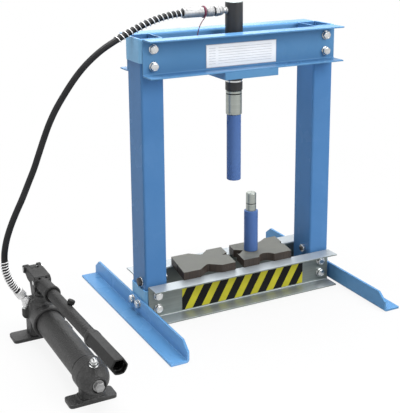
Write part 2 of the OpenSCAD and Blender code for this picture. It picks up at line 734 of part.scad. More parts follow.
// Forged lever: two cheeks over the lug and the plunger, a web on top, and a socket for the handle.
module pump_lever() color(iron) difference() {
    gap_w = lug_w + 1;
    gap_y = [-31, 29];
    union() {
        at_pump() {
            translate([-lever_w / 2, 0, 0]) rotate([90, 0, 90]) linear_extrude(lever_w) polygon([
                [45, 138], [20, 138], [-18, 137], [-24.3, 130], [-24.3, 118], [-6, 111],
                [31, 115], [48, 124]
            ]);
            translate(anchor) axis_x() cylinder(d = 17, h = lever_w, center = true);
            translate(plunger_pin) axis_x() cylinder(d = 25, h = lever_w, center = true);
        }
        on_handle(80) cylinder(d1 = 31, d2 = 29, h = 58);
        on_handle(84) cylinder(d1 = 32, d2 = 33.5, h = 2.1);
        on_handle(82) cylinder(d = 33.5, h = 6);
    }
    at_pump() {
        translate([-gap_w / 2, gap_y[0], 95]) cube([gap_w, gap_y[1] - gap_y[0], 39]);
        translate([-gap_w / 2, gap_y[1] - 1, 95]) cube([gap_w, 40, 60]);
        for (p = [anchor, plunger_pin]) translate(p) axis_x() cylinder(d = pin_d, h = 60, center = true);
    }
    on_handle(85) cylinder(d = handle_d, h = 85 - socket_end);
}

// The anchor pin sticks out on the left behind its clip; the plunger's pin is peened flush.
module lever_pins() color(steel) at_pump() {
    side = lever_w / 2;
    translate(anchor) axis_x() {
        translate([0, 0, -side - 6]) cylinder(d = pin_d, h = lever_w + 8);
        for (z = [-side - 1.5, side]) translate([0, 0, z]) cylinder(d = pin_d + 4, h = 1.5);
    }
    translate(plunger_pin) axis_x() cylinder(d = pin_d, h = lever_w + 2, center = true);
}

module handle_tube() color(iron) difference() {
    on_handle(handle_reach - grip_mouth) cylinder(d = handle_d, h = handle_reach - grip_mouth - socket_end);
    on_handle(handle_reach) cylinder(d = handle_d - 4, h = handle_reach);
    on_handle(screw_reach) rotate([0, 0, screw_lean]) rotate([90, 0, 0]) cylinder(d = 5, h = 30);
}

// Moulded six-sided grip with rounded ends and a finger guard, open at the front.
module handle_grip() color(black) on_handle(handle_reach) difference() {
    union() {
        intersection() {
            translate([0, 0.5, 0]) hex(27.5, 124);
            translate([0, 0.5, 0]) cylinder(d1 = 26, d2 = 30 + 242, h = 124);
            translate([0, 0.5, 0]) cylinder(d1 = 32 + 124, d2 = 27.5, h = 124);
        }
        translate([0, 1.5, 116]) cylinder(d = 31, h = 10);
        translate([0, 0.5, 126]) cylinder(d1 = 28.5, d2 = 26.5, h = 7);
    }
    translate([0, 0.5, -1]) hex(21.5, 11);
    translate([0, 0, 9]) cylinder(d = handle_d - 4, h = grip_mouth);
    translate([0, 0, grip_mouth]) cylinder(d = handle_d, h = 140);
}

module handle_screw() color(black) on_handle(screw_reach) rotate([0, 0, screw_lean]) rotate([90, 0, 0]) {
    translate([0, 0, handle_d / 2 - 2]) cylinder(d = 5, h = 4);
    translate([0, 0, handle_d / 2]) cylinder(d = 8.5, h = 5);
    translate([0, 0, handle_d / 2 + 4.5]) cylinder(d = 13, h = 6);
    translate([0, 0, handle_d / 2 + 10.5]) cylinder(d1 = 13, d2 = 11, h = 1);
}

upright_left();
upright_right();
saddle_top_left();
saddle_top_right();
saddle_bottom_left();
saddle_bottom_right();
upper_beam_front();
upper_beam_rear();
lower_beam_front();
lower_beam_rear();
foot_left();
foot_right();
through_bolts();
foot_bolts();
cross_bolts();
washers();
hex_nuts();
data_plate();
hazard_strip();
cylinder_plate();
cylinder_tube();
cylinder_cap();
cylinder_gland();
lock_ring();
port_nipple();
coupler_body();
coupler_seal();
coupler_ring();
ram_rod();
piston_seal();
ram_head();
ram_head_ring();
punch_long();
punch_long_ring();
punch_short();
punch_short_ring();
bearing_block_left();
bearing_block_right();
hose_ferrule_top();
hose_guard_top();
hose();
hose_guard_bottom();
hose_ferrule_bottom();
pump_head();
pump_gland();
pump_plunger();
tank_tube();
tank_end_cap();
tank_filler_plug();
tank_front_plug();
pump_foot_rear();
hose_adapter();
hose_elbow();
pump_lever();
lever_pins();
handle_tube();
handle_grip();
handle_screw();
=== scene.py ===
"""Looks of a bench hydraulic press with a separate hand pump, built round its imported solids.

Metres, +Z up. The front of the press faces -Y, and the pump stands on its -X side. Places and turned
profiles are written in millimetres, as on a drawing, and MM makes them metres.
"""

import json
import math

import bpy
from mathutils import Matrix, Vector


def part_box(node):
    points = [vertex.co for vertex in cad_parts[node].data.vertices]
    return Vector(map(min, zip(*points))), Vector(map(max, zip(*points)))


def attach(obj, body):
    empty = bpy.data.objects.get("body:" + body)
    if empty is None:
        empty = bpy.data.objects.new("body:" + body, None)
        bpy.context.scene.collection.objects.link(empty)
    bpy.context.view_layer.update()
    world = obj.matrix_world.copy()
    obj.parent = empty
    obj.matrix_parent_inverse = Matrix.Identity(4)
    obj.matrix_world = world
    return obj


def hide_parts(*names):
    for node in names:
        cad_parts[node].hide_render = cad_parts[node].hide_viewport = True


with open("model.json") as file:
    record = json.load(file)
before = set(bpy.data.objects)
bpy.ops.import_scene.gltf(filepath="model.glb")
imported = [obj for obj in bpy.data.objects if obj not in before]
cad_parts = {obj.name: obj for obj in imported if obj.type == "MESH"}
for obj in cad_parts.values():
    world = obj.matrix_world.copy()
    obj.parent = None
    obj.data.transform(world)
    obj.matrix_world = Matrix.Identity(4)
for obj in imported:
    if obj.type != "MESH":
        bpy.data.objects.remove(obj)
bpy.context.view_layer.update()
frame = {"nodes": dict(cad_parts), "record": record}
NODES = frame["nodes"]
BODY_OF = {n: body for body, members in frame["record"]["behaviour"]["bodies"].items() for n in members}
SLOT_OF = {s["node"]: s["material_slot"] for s in frame["record"]["subparts"]}
MM = 0.001
FRONT, REAR, LEFT = Vector((0, -1, 0)), Vector((0, 1, 0)), Vector((-1, 0, 0))
bpy.ops.object.select_all(action="DESELECT")


def middle(node):
    low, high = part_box(node)
    return (low + high) / 2


PRESS = Vector((middle("cylinder_tube").x, middle("cylinder_tube").y, 0))     # foot of the ram's axis
PUMP = Vector((middle("pump_foot_rear").x, middle("cylinder_tube").y, 0))     # foot of the plunger's axis


def at_press(x, y, z):
    return PRESS + Vector((x, y, z)) * MM


def at_pump(x, y, z):
    return PUMP + Vector((x, y, z)) * MM


# ----------------------------------------
# Camera
# ----------------------------------------

CAMERA_PLACE = (-937.1, -1659.9, 853.2)      # mm from the foot of the ram's axis
YAW, PITCH, ROLL = (math.radians(angle) for angle in (27.236, -13.547, -0.411))
LENS = 78.53
SHIFT = -0.2                                 # up or down, as a share of the frame's longer side


def set_camera():
    data = bpy.data.cameras.new("camera")
    data.lens = LENS
    data.shift_y = SHIFT
    data.clip_end = 100
    camera = bpy.data.objects.new("camera", data)
    bpy.context.scene.collection.objects.link(camera)
    camera.matrix_world = (
        Matrix.Translation(at_press(*CAMERA_PLACE))
        @ Matrix.Rotation(-YAW, 4, "Z")
        @ Matrix.Rotation(math.pi / 2 + PITCH, 4, "X")
        @ Matrix.Rotation(ROLL, 4, "Z")
    )
    bpy.context.scene.camera = camera


set_camera()


# ----------------------------------------
# Finishes
# ----------------------------------------

def add_node(tree, kind, inputs=None, **settings):
    made = tree.nodes.new("ShaderNode" + kind)
    for key, value in settings.items():
        setattr(made, key, value)
    for key, value in (inputs or {}).items():
        if isinstance(value, bpy.types.NodeSocket):
            tree.links.new(value, made.inputs[key])
        else:
            made.inputs[key].default_value = value
    return made


def sum_up(tree, operation, a, b=0.0, c=0.0):
    """A Math node's result."""
    return add_node(tree, "Math", {0: a, 1: b, 2: c}, operation=operation).outputs[0]


def blend_colors(tree, mask, low, high):
    """low where the mask is 0 and high where it is 1."""
    mix = add_node(tree, "Mix", {0: mask, 6: low, 7: high}, data_type="RGBA", clamp_factor=True)
    return mix.outputs[2]


def tint(tree, color, over, mask, share):
    """Lays a second colour over the first, by that share of the mask."""
    return blend_colors(tree, sum_up(tree, "MULTIPLY", mask, share), color, over)


def greys(tone, *shares):
    """Plain greys at shares of a tone."""
    return [(share * tone, share * tone, share * tone, 1) for share in shares]


def spread(tree, value, low, high, to_low, to_high):
    """value from low..high to to_low..to_high, held at both ends."""
    made = add_node(tree, "MapRange", {"Value": value, "From Min": low, "From Max": high,
                                      "To Min": to_low, "To Max": to_high})
    return made.outputs["Result"]


def new_group(name, takes, gives):
    """A shader node group with named number inputs, given with their defaults, and named outputs."""
    tree = bpy.data.node_groups.new(name, "ShaderNodeTree")
    for label, default in takes.items():
        socket = tree.interface.new_socket(label, in_out="INPUT", socket_type="NodeSocketFloat")
        socket.default_value = default
    for label in gives:
        tree.interface.new_socket(label, in_out="OUTPUT", socket_type="NodeSocketFloat")
    return tree, tree.nodes.new("NodeGroupInput").outputs, tree.nodes.new("NodeGroupOutput")


def make_cloudiness():
    """Slow change over a surface, and fine specks on it."""
    tree, takes, gives = new_group("cloudiness", {"Size": 20.0, "Speck Size": 700.0}, ["Cloud", "Speck"])
    place = add_node(tree, "TexCoord").outputs["Object"]
    cloud = add_node(tree, "TexNoise", {"Vector": place, "Scale": takes["Size"], "Detail": 3.0,
                                        "Roughness": 0.55})
    speck = add_node(tree, "TexNoise", {"Vector": place, "Scale": takes["Speck Size"], "Detail": 2.0})
    tree.links.new(spread(tree, cloud.outputs[0], 0.35, 0.65, 0.0, 1.0), gives.inputs["Cloud"])
    tree.links.new(spread(tree, speck.outputs[0], 0.35, 0.65, 0.0, 1.0), gives.inputs["Speck"])
    return tree


# the blue enamel and the flame-cut plate lay a painted highlight along hard edges with this mask
def make_hard_edges():
    """A mask that is 1 on hard edges, broken up by noise."""
    tree, takes, gives = new_group("hard_edges", {"Reach": 0.001, "Break Size": 90.0}, ["Edge"])
    place = add_node(tree, "TexCoord").outputs["Object"]
    rounded = add_node(tree, "Bevel", {"Radius": takes["Reach"]}, samples=4).outputs[0]
    true = add_node(tree, "NewGeometry").outputs["Normal"]
    turn = add_node(tree, "VectorMath", {0: rounded, 1: true}, operation="DOT_PRODUCT").outputs["Value"]
    edge = spread(tree, turn, 0.995, 0.85, 0.0, 1.0)
    noise = add_node(tree, "TexNoise", {"Vector": place, "Scale": takes["Break Size"], "Detail": 4.0})
    breaks = spread(tree, noise.outputs[0], 0.42, 0.62, 0.0, 1.0)
    tree.links.new(sum_up(tree, "MULTIPLY", edge, breaks), gives.inputs["Edge"])
    return tree


def make_streaks():
    """Fine lines along one axis, as brushing, rolling or turning leaves."""
    tree, takes, gives = new_group("streaks", {"Along X": 1.0, "Along Y": 1.0, "Along Z": 1.0}, ["Streak"])
    place = add_node(tree, "TexCoord").outputs["Object"]
    scale = add_node(tree, "CombineXYZ", {0: takes["Along X"], 1: takes["Along Y"], 2: takes["Along Z"]})
    drawn = add_node(tree, "VectorMath", {0: place, 1: scale.outputs[0]}, operation="MULTIPLY").outputs[0]
    noise = add_node(tree, "TexNoise", {"Vector": drawn, "Scale": 1.0, "Detail": 2.0}).outputs[0]
    tree.links.new(spread(tree, noise, 0.3, 0.7, 0.0, 1.0), gives.inputs["Streak"])
    return tree


def make_level_faces():
    """A mask that is 1 on level faces and 0 on upright ones."""
    tree, takes, gives = new_group("level_faces", {"Upright Below": 0.5, "Level Above": 0.8}, ["Level"])
    normal = add_node(tree, "NewGeometry").outputs["Normal"]
    rise = sum_up(tree, "ABSOLUTE", add_node(tree, "SeparateXYZ", {0: normal}).outputs[2])
    level = spread(tree, rise, takes["Upright Below"], takes["Level Above"], 0.0, 1.0)
    tree.links.new(level, gives.inputs["Level"])
    return tree


CLOUDINESS = make_cloudiness()
HARD_EDGES = make_hard_edges()
STREAKS = make_streaks()
LEVEL_FACES = make_level_faces()
# a pale blue, laid in random clouds on the enamel and as a painted highlight along its hard edges
PALE_BLUE_CLOUD_AND_HIGHLIGHT = (0.30, 0.52, 0.80, 1)
RUBBED_ZINC = (0.30, 0.33, 0.315, 1)
# a light scale grey for the painted highlight on the plate's hard edges
SCALE_EDGE_HIGHLIGHT = (0.33, 0.31, 0.29, 1)


def use_group(tree, group, **inputs):
    made = tree.nodes.new("ShaderNodeGroup")
    made.node_tree = group
    for key, value in inputs.items():
        made.inputs[key.replace("_", " ")].default_value = value
    return made.outputs


def start_finish(name, **settings):
    """A material with plain settings on its Principled shader; returns it, its tree and that shader."""
    material = bpy.data.materials.new(name)
    material.use_nodes = True
    tree = material.node_tree
    shader = tree.nodes["Principled BSDF"]
    for key, value in settings.items():
        shader.inputs[key.replace("_", " ")].default_value = value
    return material, tree, shader


def lay_on(tree, shader, color, mask, smooth, rough):
    """Puts the colour on the shader, and a roughness from smooth to rough by the mask."""
    tree.links.new(color, shader.inputs["Base Color"])
    tree.links.new(spread(tree, mask, 0.0, 1.0, smooth, rough), shader.inputs["Roughness"])


def bump(tree, shader, height, strength, distance):
    made = add_node(tree, "Bump", {"Height": height, "Strength": strength, "Distance": distance})
    tree.links.new(made.outputs[0], shader.inputs["Normal"])


def blue_enamel(name, side=(0.070, 0.194, 0.418), top=(0.115, 0.290, 0.540)):
    """Glossy air-dried enamel with a faint orange peel, painted light and shade in one colour for upright
    faces and another for level ones, and a painted highlight along its hard edges.
    """
    material, tree, shader = start_finish(name, IOR=1.15)
    cloud = use_group(tree, CLOUDINESS, Size=9.0, Speck_Size=240.0)
    edge = use_group(tree, HARD_EDGES, Reach=0.0012, Break_Size=60.0)["Edge"]
    level = use_group(tree, LEVEL_FACES)["Level"]
    # painted light and shade: upright faces take one colour and level faces another, by which way they look
    color = blend_colors(tree, level, (*side, 1), (*top, 1))
    color = tint(tree, color, PALE_BLUE_CLOUD_AND_HIGHLIGHT, cloud["Cloud"], 0.05)
    # painted highlight: hard edges are paled towards a light blue
    color = tint(tree, color, PALE_BLUE_CLOUD_AND_HIGHLIGHT, edge, 0.35)
    lay_on(tree, shader, color, cloud["Cloud"], 0.22, 0.30)
    bump(tree, shader, cloud["Speck"], 0.10, 0.0003)
    return material


def zinc_plating():
    """Dull zinc plate on sheet steel, slightly green and drawn along the beams; its level faces are much
    paler, which is painted light.
    """
    material, tree, shader = start_finish("zinc_plating", Metallic=0.55, IOR=1.5)
    cloud = use_group(tree, CLOUDINESS, Size=14.0, Speck_Size=420.0)
    streak = use_group(tree, STREAKS, Along_X=6.0, Along_Y=500.0, Along_Z=500.0)["Streak"]
    color = blend_colors(tree, cloud["Cloud"], (0.135, 0.158, 0.149, 1), (0.180, 0.203, 0.192, 1))
    # painted light: level faces take a much paler zinc
    color = blend_colors(tree, use_group(tree, LEVEL_FACES)["Level"], color, (0.410, 0.450, 0.480, 1))
    color = tint(tree, color, RUBBED_ZINC, streak, 0.25)
    lay_on(tree, shader, color, cloud["Speck"], 0.34, 0.46)
    bump(tree, shader, streak, 0.08, 0.0002)
    return material


def turned_steel():
    """Plated and turned steel of bolts, plugs and fittings."""
    material, tree, shader = start_finish("turned_steel", Metallic=1.0)
    cloud = use_group(tree, CLOUDINESS, Size=60.0, Speck_Size=900.0)
    color = blend_colors(tree, cloud["Cloud"], (0.50, 0.51, 0.51, 1), (0.64, 0.65, 0.65, 1))
    lay_on(tree, shader, color, cloud["Cloud"], 0.17, 0.28)
    bump(tree, shader, cloud["Speck"], 0.06, 0.0002)
    return material


def tumbled_nickel(name, tone):
    """Soft silvery plating of the coupler and the hose's fittings."""
    material, tree, shader = start_finish(name, Metallic=0.6, IOR=1.5)
    cloud = use_group(tree, CLOUDINESS, Size=70.0, Speck_Size=1100.0)
    color = blend_colors(tree, cloud["Cloud"], *greys(tone, 0.8, 1.2))
    lay_on(tree, shader, color, cloud["Speck"], 0.42, 0.52)
    bump(tree, shader, cloud["Speck"], 0.2, 0.0003)
    return material


def hard_chrome():
    """Ground and chromed steel, with turning marks round the axis."""
    material, tree, shader = start_finish("hard_chrome", Metallic=1.0)
    streak = use_group(tree, STREAKS, Along_X=2.0, Along_Y=2.0, Along_Z=1600.0)["Streak"]
    cloud = use_group(tree, CLOUDINESS, Size=30.0, Speck_Size=300.0)
    color = blend_colors(tree, streak, (0.30, 0.325, 0.30, 1), (0.38, 0.405, 0.38, 1))
    lay_on(tree, shader, color, cloud["Cloud"], 0.34, 0.42)
    bump(tree, shader, streak, 0.05, 0.0001)
    return material


def black_enamel():
    """Satin black enamel on the cylinder."""
    material, tree, shader = start_finish("black_enamel", IOR=1.45)
    cloud = use_group(tree, CLOUDINESS, Size=25.0, Speck_Size=380.0)
    color = blend_colors(tree, cloud["Cloud"], (0.016, 0.016, 0.017, 1), (0.022, 0.022, 0.023, 1))
    lay_on(tree, shader, color, cloud["Cloud"], 0.36, 0.48)
    bump(tree, shader, cloud["Speck"], 0.12, 0.0003)
    return material


def pump_enamel(name, tone, ior):
    """Dark grey enamel over sand castings: a pebbled skin, paler on its hard edges, and painted shade on
    level faces.
    """
    material, tree, shader = start_finish(name, IOR=ior)
    cloud = use_group(tree, CLOUDINESS, Size=18.0, Speck_Size=330.0)
    edge = use_group(tree, HARD_EDGES, Reach=0.0014, Break_Size=110.0)["Edge"]
    dark, pale, edge_pale = greys(tone, 0.6, 1.25, 2.6)
    grain = sum_up(tree, "MULTIPLY_ADD", cloud["Speck"], 0.6, sum_up(tree, "MULTIPLY", cloud["Cloud"], 0.4))
    color = blend_colors(tree, grain, dark, pale)
    # painted shade: level faces are darkened towards black
    color = tint(tree, color, (0, 0, 0, 1), use_group(tree, LEVEL_FACES)["Level"], 0.45)
    color = tint(tree, color, edge_pale, edge, 0.5)
    lay_on(tree, shader, color, cloud["Cloud"], 0.42, 0.55)
    bump(tree, shader, cloud["Speck"], 0.55, 0.0007)
    return material


def flame_cut_plate():
    """Rolled plate with grey-brown mill scale; its cut sides are darker and ribbed from the flame."""
    material, tree, shader = start_finish("flame_cut_plate", IOR=1.5, Specular_IOR_Level=0.35)
    cloud = use_group(tree, CLOUDINESS, Size=35.0, Speck_Size=500.0)
    edge = use_group(tree, HARD_EDGES, Reach=0.001, Break_Size=200.0)["Edge"]
    ribs = use_group(tree, STREAKS, Along_X=700.0, Along_Y=700.0, Along_Z=30.0)["Streak"]
    level = use_group(tree, LEVEL_FACES)["Level"]
    top = blend_colors(tree, cloud["Cloud"], (0.090, 0.093, 0.082, 1), (0.128, 0.131, 0.116, 1))
    side = blend_colors(tree, ribs, (0.018, 0.013, 0.010, 1), (0.044, 0.030, 0.022, 1))
    color = blend_colors(tree, level, side, top)
    # painted highlight: hard edges are paled towards a light scale grey
    color = tint(tree, color, SCALE_EDGE_HIGHLIGHT, edge, 0.5)
    height = sum_up(tree, "MULTIPLY", ribs, sum_up(tree, "SUBTRACT", 1.0, level))
    height = sum_up(tree, "MULTIPLY_ADD", cloud["Speck"], 0.25, height)
    lay_on(tree, shader, color, cloud["Cloud"], 0.45, 0.60)
    bump(tree, shader, height, 0.4, 0.0006)
    return material


def red_thread():
    """Dark red cotton thread, rough and dull."""
    material, tree, shader = start_finish("red_thread", IOR=1.4, Sheen_Weight=0.2)
    cloud = use_group(tree, CLOUDINESS, Size=400.0, Speck_Size=2500.0)
    color = blend_colors(tree, cloud["Cloud"], (0.10, 0.014, 0.036, 1), (0.17, 0.026, 0.060, 1))
    lay_on(tree, shader, color, cloud["Speck"], 0.7, 0.9)
    bump(tree, shader, cloud["Speck"], 0.5, 0.0003)
    return material


def smooth_rubber():
    """Black hose cover and seals."""
    material, tree, shader = start_finish("smooth_rubber", IOR=1.5, Specular_IOR_Level=0.22)
    cloud = use_group(tree, CLOUDINESS, Size=40.0, Speck_Size=900.0)
    color = blend_colors(tree, cloud["Cloud"], (0.006, 0.006, 0.007, 1), (0.011, 0.011, 0.012, 1))
    lay_on(tree, shader, color, cloud["Cloud"], 0.40, 0.50)
    bump(tree, shader, cloud["Speck"], 0.15, 0.0002)
    return material


def moulded_grip():
    """Moulded black plastic with a fine spark-eroded skin."""
    material, tree, shader = start_finish("moulded_grip", IOR=1.3)
    cloud = use_group(tree, CLOUDINESS, Size=30.0, Speck_Size=1500.0)
    color = blend_colors(tree, cloud["Cloud"], (0.006, 0.006, 0.006, 1), (0.009, 0.009, 0.009, 1))
    lay_on(tree, shader, color, cloud["Cloud"], 0.40, 0.50)
    bump(tree, shader, cloud["Speck"], 0.2, 0.0002)
    return material


def object_place(tree):
    """The object's x, y and z."""
    return add_node(tree, "SeparateXYZ", {0: add_node(tree, "TexCoord").outputs["Object"]}).outputs


LABEL_ROWS = 9.0


def ruled_label():
    """White plate with plain ruled lines and no words."""
    material, tree, shader = start_finish("ruled_label", IOR=1.45)
    low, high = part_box("data_plate")
    x, _, z = object_place(tree)
    across = spread(tree, x, low.x, high.x, 0.0, 1.0)
    up = spread(tree, z, low.z, high.z, 0.0, 1.0)

    def both(a, b):
        return sum_up(tree, "MULTIPLY", a, b)

    def between(value, a, b):
        return both(sum_up(tree, "GREATER_THAN", value, a), sum_up(tree, "LESS_THAN", value, b))

    row = sum_up(tree, "FRACT", sum_up(tree, "MULTIPLY", up, LABEL_ROWS))
    columns = sum_up(tree, "ADD", between(across, 0.04, 0.13), between(across, 0.17, 0.93))
    rules = both(both(between(row, 0.44, 0.55), between(up, 0.10, 0.86)), columns)
    border = sum_up(tree, "SUBTRACT", 1.0, both(between(across, 0.008, 0.992), between(up, 0.028, 0.972)))
    cloud = use_group(tree, CLOUDINESS, Size=25.0, Speck_Size=200.0)["Cloud"]
    color = blend_colors(tree, cloud, (0.95, 0.95, 0.95, 1), (1.0, 1.0, 1.0, 1))
    color = tint(tree, color, (0.12, 0.12, 0.13, 1), rules, 0.7)
    color = tint(tree, color, (0.20, 0.22, 0.26, 1), border, 0.6)
    lay_on(tree, shader, color, cloud, 0.28, 0.36)
    return material


BAR_PITCH = 0.041                            # a yellow and a black bar together, in metres along the strip
BAR_START = 0.039                            # how far before the strip's left end they begin
BAR_LEAN = 1 / math.tan(math.radians(60))
YELLOW_SHARE = 0.46


def hazard_print():
    """Yellow and black bars that lean to the right, on a printed strip."""
    material, tree, shader = start_finish("hazard_print", IOR=1.2)
    x, _, z = object_place(tree)
    left_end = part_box("hazard_strip")[0].x
    run = sum_up(tree, "MULTIPLY_ADD", z, -BAR_LEAN, x)
    turns = sum_up(tree, "DIVIDE", sum_up(tree, "SUBTRACT", run, left_end - BAR_START), BAR_PITCH)
    black = sum_up(tree, "GREATER_THAN", sum_up(tree, "FRACT", turns), YELLOW_SHARE)
    cloud = use_group(tree, CLOUDINESS, Size=30.0, Speck_Size=300.0)["Cloud"]
    yellow = blend_colors(tree, cloud, (0.50, 0.47, 0.035, 1), (0.58, 0.54, 0.04, 1))
    color = blend_colors(tree, black, yellow, (0.006, 0.006, 0.006, 1))
    lay_on(tree, shader, color, cloud, 0.34, 0.44)
    return material


FINISHES = {
    "blue_paint": blue_enamel("blue_enamel"),
    "zinc_plate": zinc_plating(),
    "bright_steel": turned_steel(),
    "chrome": hard_chrome(),
    "black_steel": black_enamel(),
    "pump_paint": pump_enamel("pump_enamel", 0.044, 1.38),
    "block_steel": flame_cut_plate(),
    "rubber": smooth_rubber(),
    "grip_plastic": moulded_grip(),
    "label": ruled_label(),
    "hazard": hazard_print(),
}
# finishes beside the slots' own: one slot's pieces don't all take the same tone, and the lighter and darker
# copies for the fittings, beams, straps and feet are painted light and shade
# one plating in a darker and a lighter copy, painted shade and painted light: the darker on the coupler's
# fittings and the drain plug, the lighter on the elbow, the lower ferrule and the spring guards
FITTING = tumbled_nickel("tumbled_nickel", 0.32)
FITTING_PAINTED_LIGHT = tumbled_nickel("tumbled_nickel_painted_light", 0.75)
FORGED = pump_enamel("pump_enamel_forged", 0.020, 1.28)
THREAD_RED = red_thread()
# painted light and shade: the beams' copy, also on the ram plate and the right foot, has upright faces
# lighter and level faces darker than the uprights' enamel
BEAM_BLUE = blue_enamel("blue_enamel_beams", side=(0.098, 0.245, 0.445), top=(0.100, 0.255, 0.480))
PUNCH_BLUE = blue_enamel("blue_enamel_punches", side=(0.078, 0.152, 0.370), top=(0.078, 0.152, 0.370))
# painted light: the straps' upright faces are lighter than their level ones
STRAP_BLUE = blue_enamel("blue_enamel_straps", side=(0.210, 0.450, 0.700), top=(0.140, 0.350, 0.630))
# painted reflection: the left foot's upright leg is lighter than its level flat
FOOT_BLUE = blue_enamel("blue_enamel_feet", side=(0.175, 0.385, 0.700), top=(0.088, 0.230, 0.435))


def coat(piece, material):
    piece.data.materials.clear()
    piece.data.materials.append(material)


for name, solid in NODES.items():
    coat(solid, FINISHES[SLOT_OF[name]])


# ----------------------------------------
# Ways of shaping
# ----------------------------------------

SMOOTH_BELOW = math.radians(48)              # faces that meet at less are shaded as one
COPLANAR = math.radians(0.6)                 # faces that meet at less are made one
SOLID_WELD, TURNED_WELD, MILLED_WELD = 0.000004, 0.00001, 0.00002     # points this close are merged


def pick(piece):
    bpy.ops.object.select_all(action="DESELECT")
    piece.select_set(True)
    bpy.context.view_layer.objects.active = piece


def open_mesh(piece, select="SELECT"):
    pick(piece)
    bpy.ops.object.mode_set(mode="EDIT")
    bpy.ops.mesh.select_mode(type="FACE")
    bpy.ops.mesh.select_all(action=select)


def close_mesh():
    bpy.ops.object.mode_set(mode="OBJECT")


def select_faces(piece, test):
    """Selects the faces whose middle and normal pass the test, in edit mode."""
    bpy.ops.object.mode_set(mode="OBJECT")
    for face in piece.data.polygons:
        face.select = bool(test(face.center, face.normal))
    bpy.ops.object.mode_set(mode="EDIT")


def shape_with(piece, kind, **settings):
    pick(piece)
    modifier = piece.modifiers.new(kind.lower(), kind)
    for key, value in settings.items():
        setattr(modifier, key, value)
    bpy.ops.object.modifier_apply(modifier=modifier.name)
    return piece


def soften(piece, width, steps=2, edge=35):
    """Breaks the sharp edges by width millimetres, and shades what is round smooth."""
    shape_with(piece, "BEVEL", width=width * MM, segments=steps, limit_method="ANGLE",
               angle_limit=math.radians(edge), use_clamp_overlap=False)
    bpy.ops.object.shade_smooth_by_angle(angle=SMOOTH_BELOW)
    return shape_with(piece, "WEIGHTED_NORMAL", weight=80, keep_sharp=True)


def stand(piece, name, foot, axis=(0, 0, 1), turn=0.0):
    """Names the piece, stands its +Z on foot along the axis, and puts that into its mesh."""
    piece.name = piece.data.name = name
    piece.matrix_world = (
        Matrix.Translation(foot)
        @ Vector(axis).to_track_quat("Z", "Y").to_matrix().to_4x4()
        @ Matrix.Rotation(math.radians(turn), 4, "Z")
    )
    pick(piece)
    bpy.ops.object.transform_apply(location=True, rotation=True, scale=True)
    return piece


def copy_of(piece):
    """A copy with its own mesh."""
    pick(piece)
    bpy.ops.object.duplicate()
    return bpy.context.object


def join(pieces):
    bpy.ops.object.select_all(action="DESELECT")
    for piece in pieces:
        piece.select_set(True)
    bpy.context.view_layer.objects.active = pieces[0]
    bpy.ops.object.join()
    return pieces[0]


def turn_up(profile, sides=48, ring=False):
    """A turned piece on +Z: a circle extruded and resized through (radius, height) in mm.

    A ring's profile goes round its section and ends where it began.
    """
    radius, height = profile[0]
    bpy.ops.mesh.primitive_circle_add(vertices=sides, radius=radius * MM, location=(0, 0, height * MM),
                                      fill_type="NOTHING" if ring else "NGON")
    piece = bpy.context.object
    bpy.ops.object.transform_apply(location=True, rotation=True, scale=True)
    bpy.ops.object.mode_set(mode="EDIT")
    bpy.ops.mesh.select_mode(type="EDGE" if ring else "FACE")
    bpy.ops.mesh.select_all(action="SELECT")
    for (r0, z0), (r1, z1) in zip(profile, profile[1:]):
        move = {"value": (0, 0, (z1 - z0) * MM)}
        if ring:
            bpy.ops.mesh.extrude_edges_move(TRANSFORM_OT_translate=move)
        else:
            bpy.ops.mesh.extrude_region_move(TRANSFORM_OT_translate=move)
        bpy.ops.transform.resize(value=(r1 / r0, r1 / r0, 1), center_override=(0, 0, 0))
    bpy.ops.mesh.select_all(action="SELECT")
    bpy.ops.mesh.remove_doubles(threshold=TURNED_WELD)
    bpy.ops.mesh.normals_make_consistent(inside=False)
    close_mesh()
    return piece


def mill_hex(piece, across):
    """Cuts six flats round +Z, the given distance across."""
    open_mesh(piece)
    for k in range(6):
        out = Vector((math.cos(math.tau * k / 6), math.sin(math.tau * k / 6), 0))
        bpy.ops.mesh.select_all(action="SELECT")
        bpy.ops.mesh.bisect(plane_co=out * across / 2 * MM, plane_no=out, use_fill=True, clear_outer=True)
    bpy.ops.mesh.select_all(action="SELECT")
    bpy.ops.mesh.remove_doubles(threshold=MILLED_WELD)
    bpy.ops.mesh.normals_make_consistent(inside=False)
    close_mesh()
    return piece


CHAMFER_SLOPE = 0.58                         # fall of a hex's turned corners, about 30 degrees
SEAT_H = 0.4                                 # washer face under a bolt's head


def hex_blank(across, low, high, both=False):
    """A six-sided head or nut with its corners turned off on top, or on both ends."""
    corner, face = across / math.cos(math.pi / 6) / 2, across * 0.465
    drop = (corner - face) * CHAMFER_SLOPE
    if both:
        start = [(face, low), (corner, low + drop)]
    else:
        start = [(face, low), (face, low + SEAT_H), (corner, low + SEAT_H)]
    blank = turn_up(start + [(corner, high - drop), (face, high), (face * 0.96, high)], sides=36)
    return mill_hex(blank, across)


THREAD_STEPS = 14


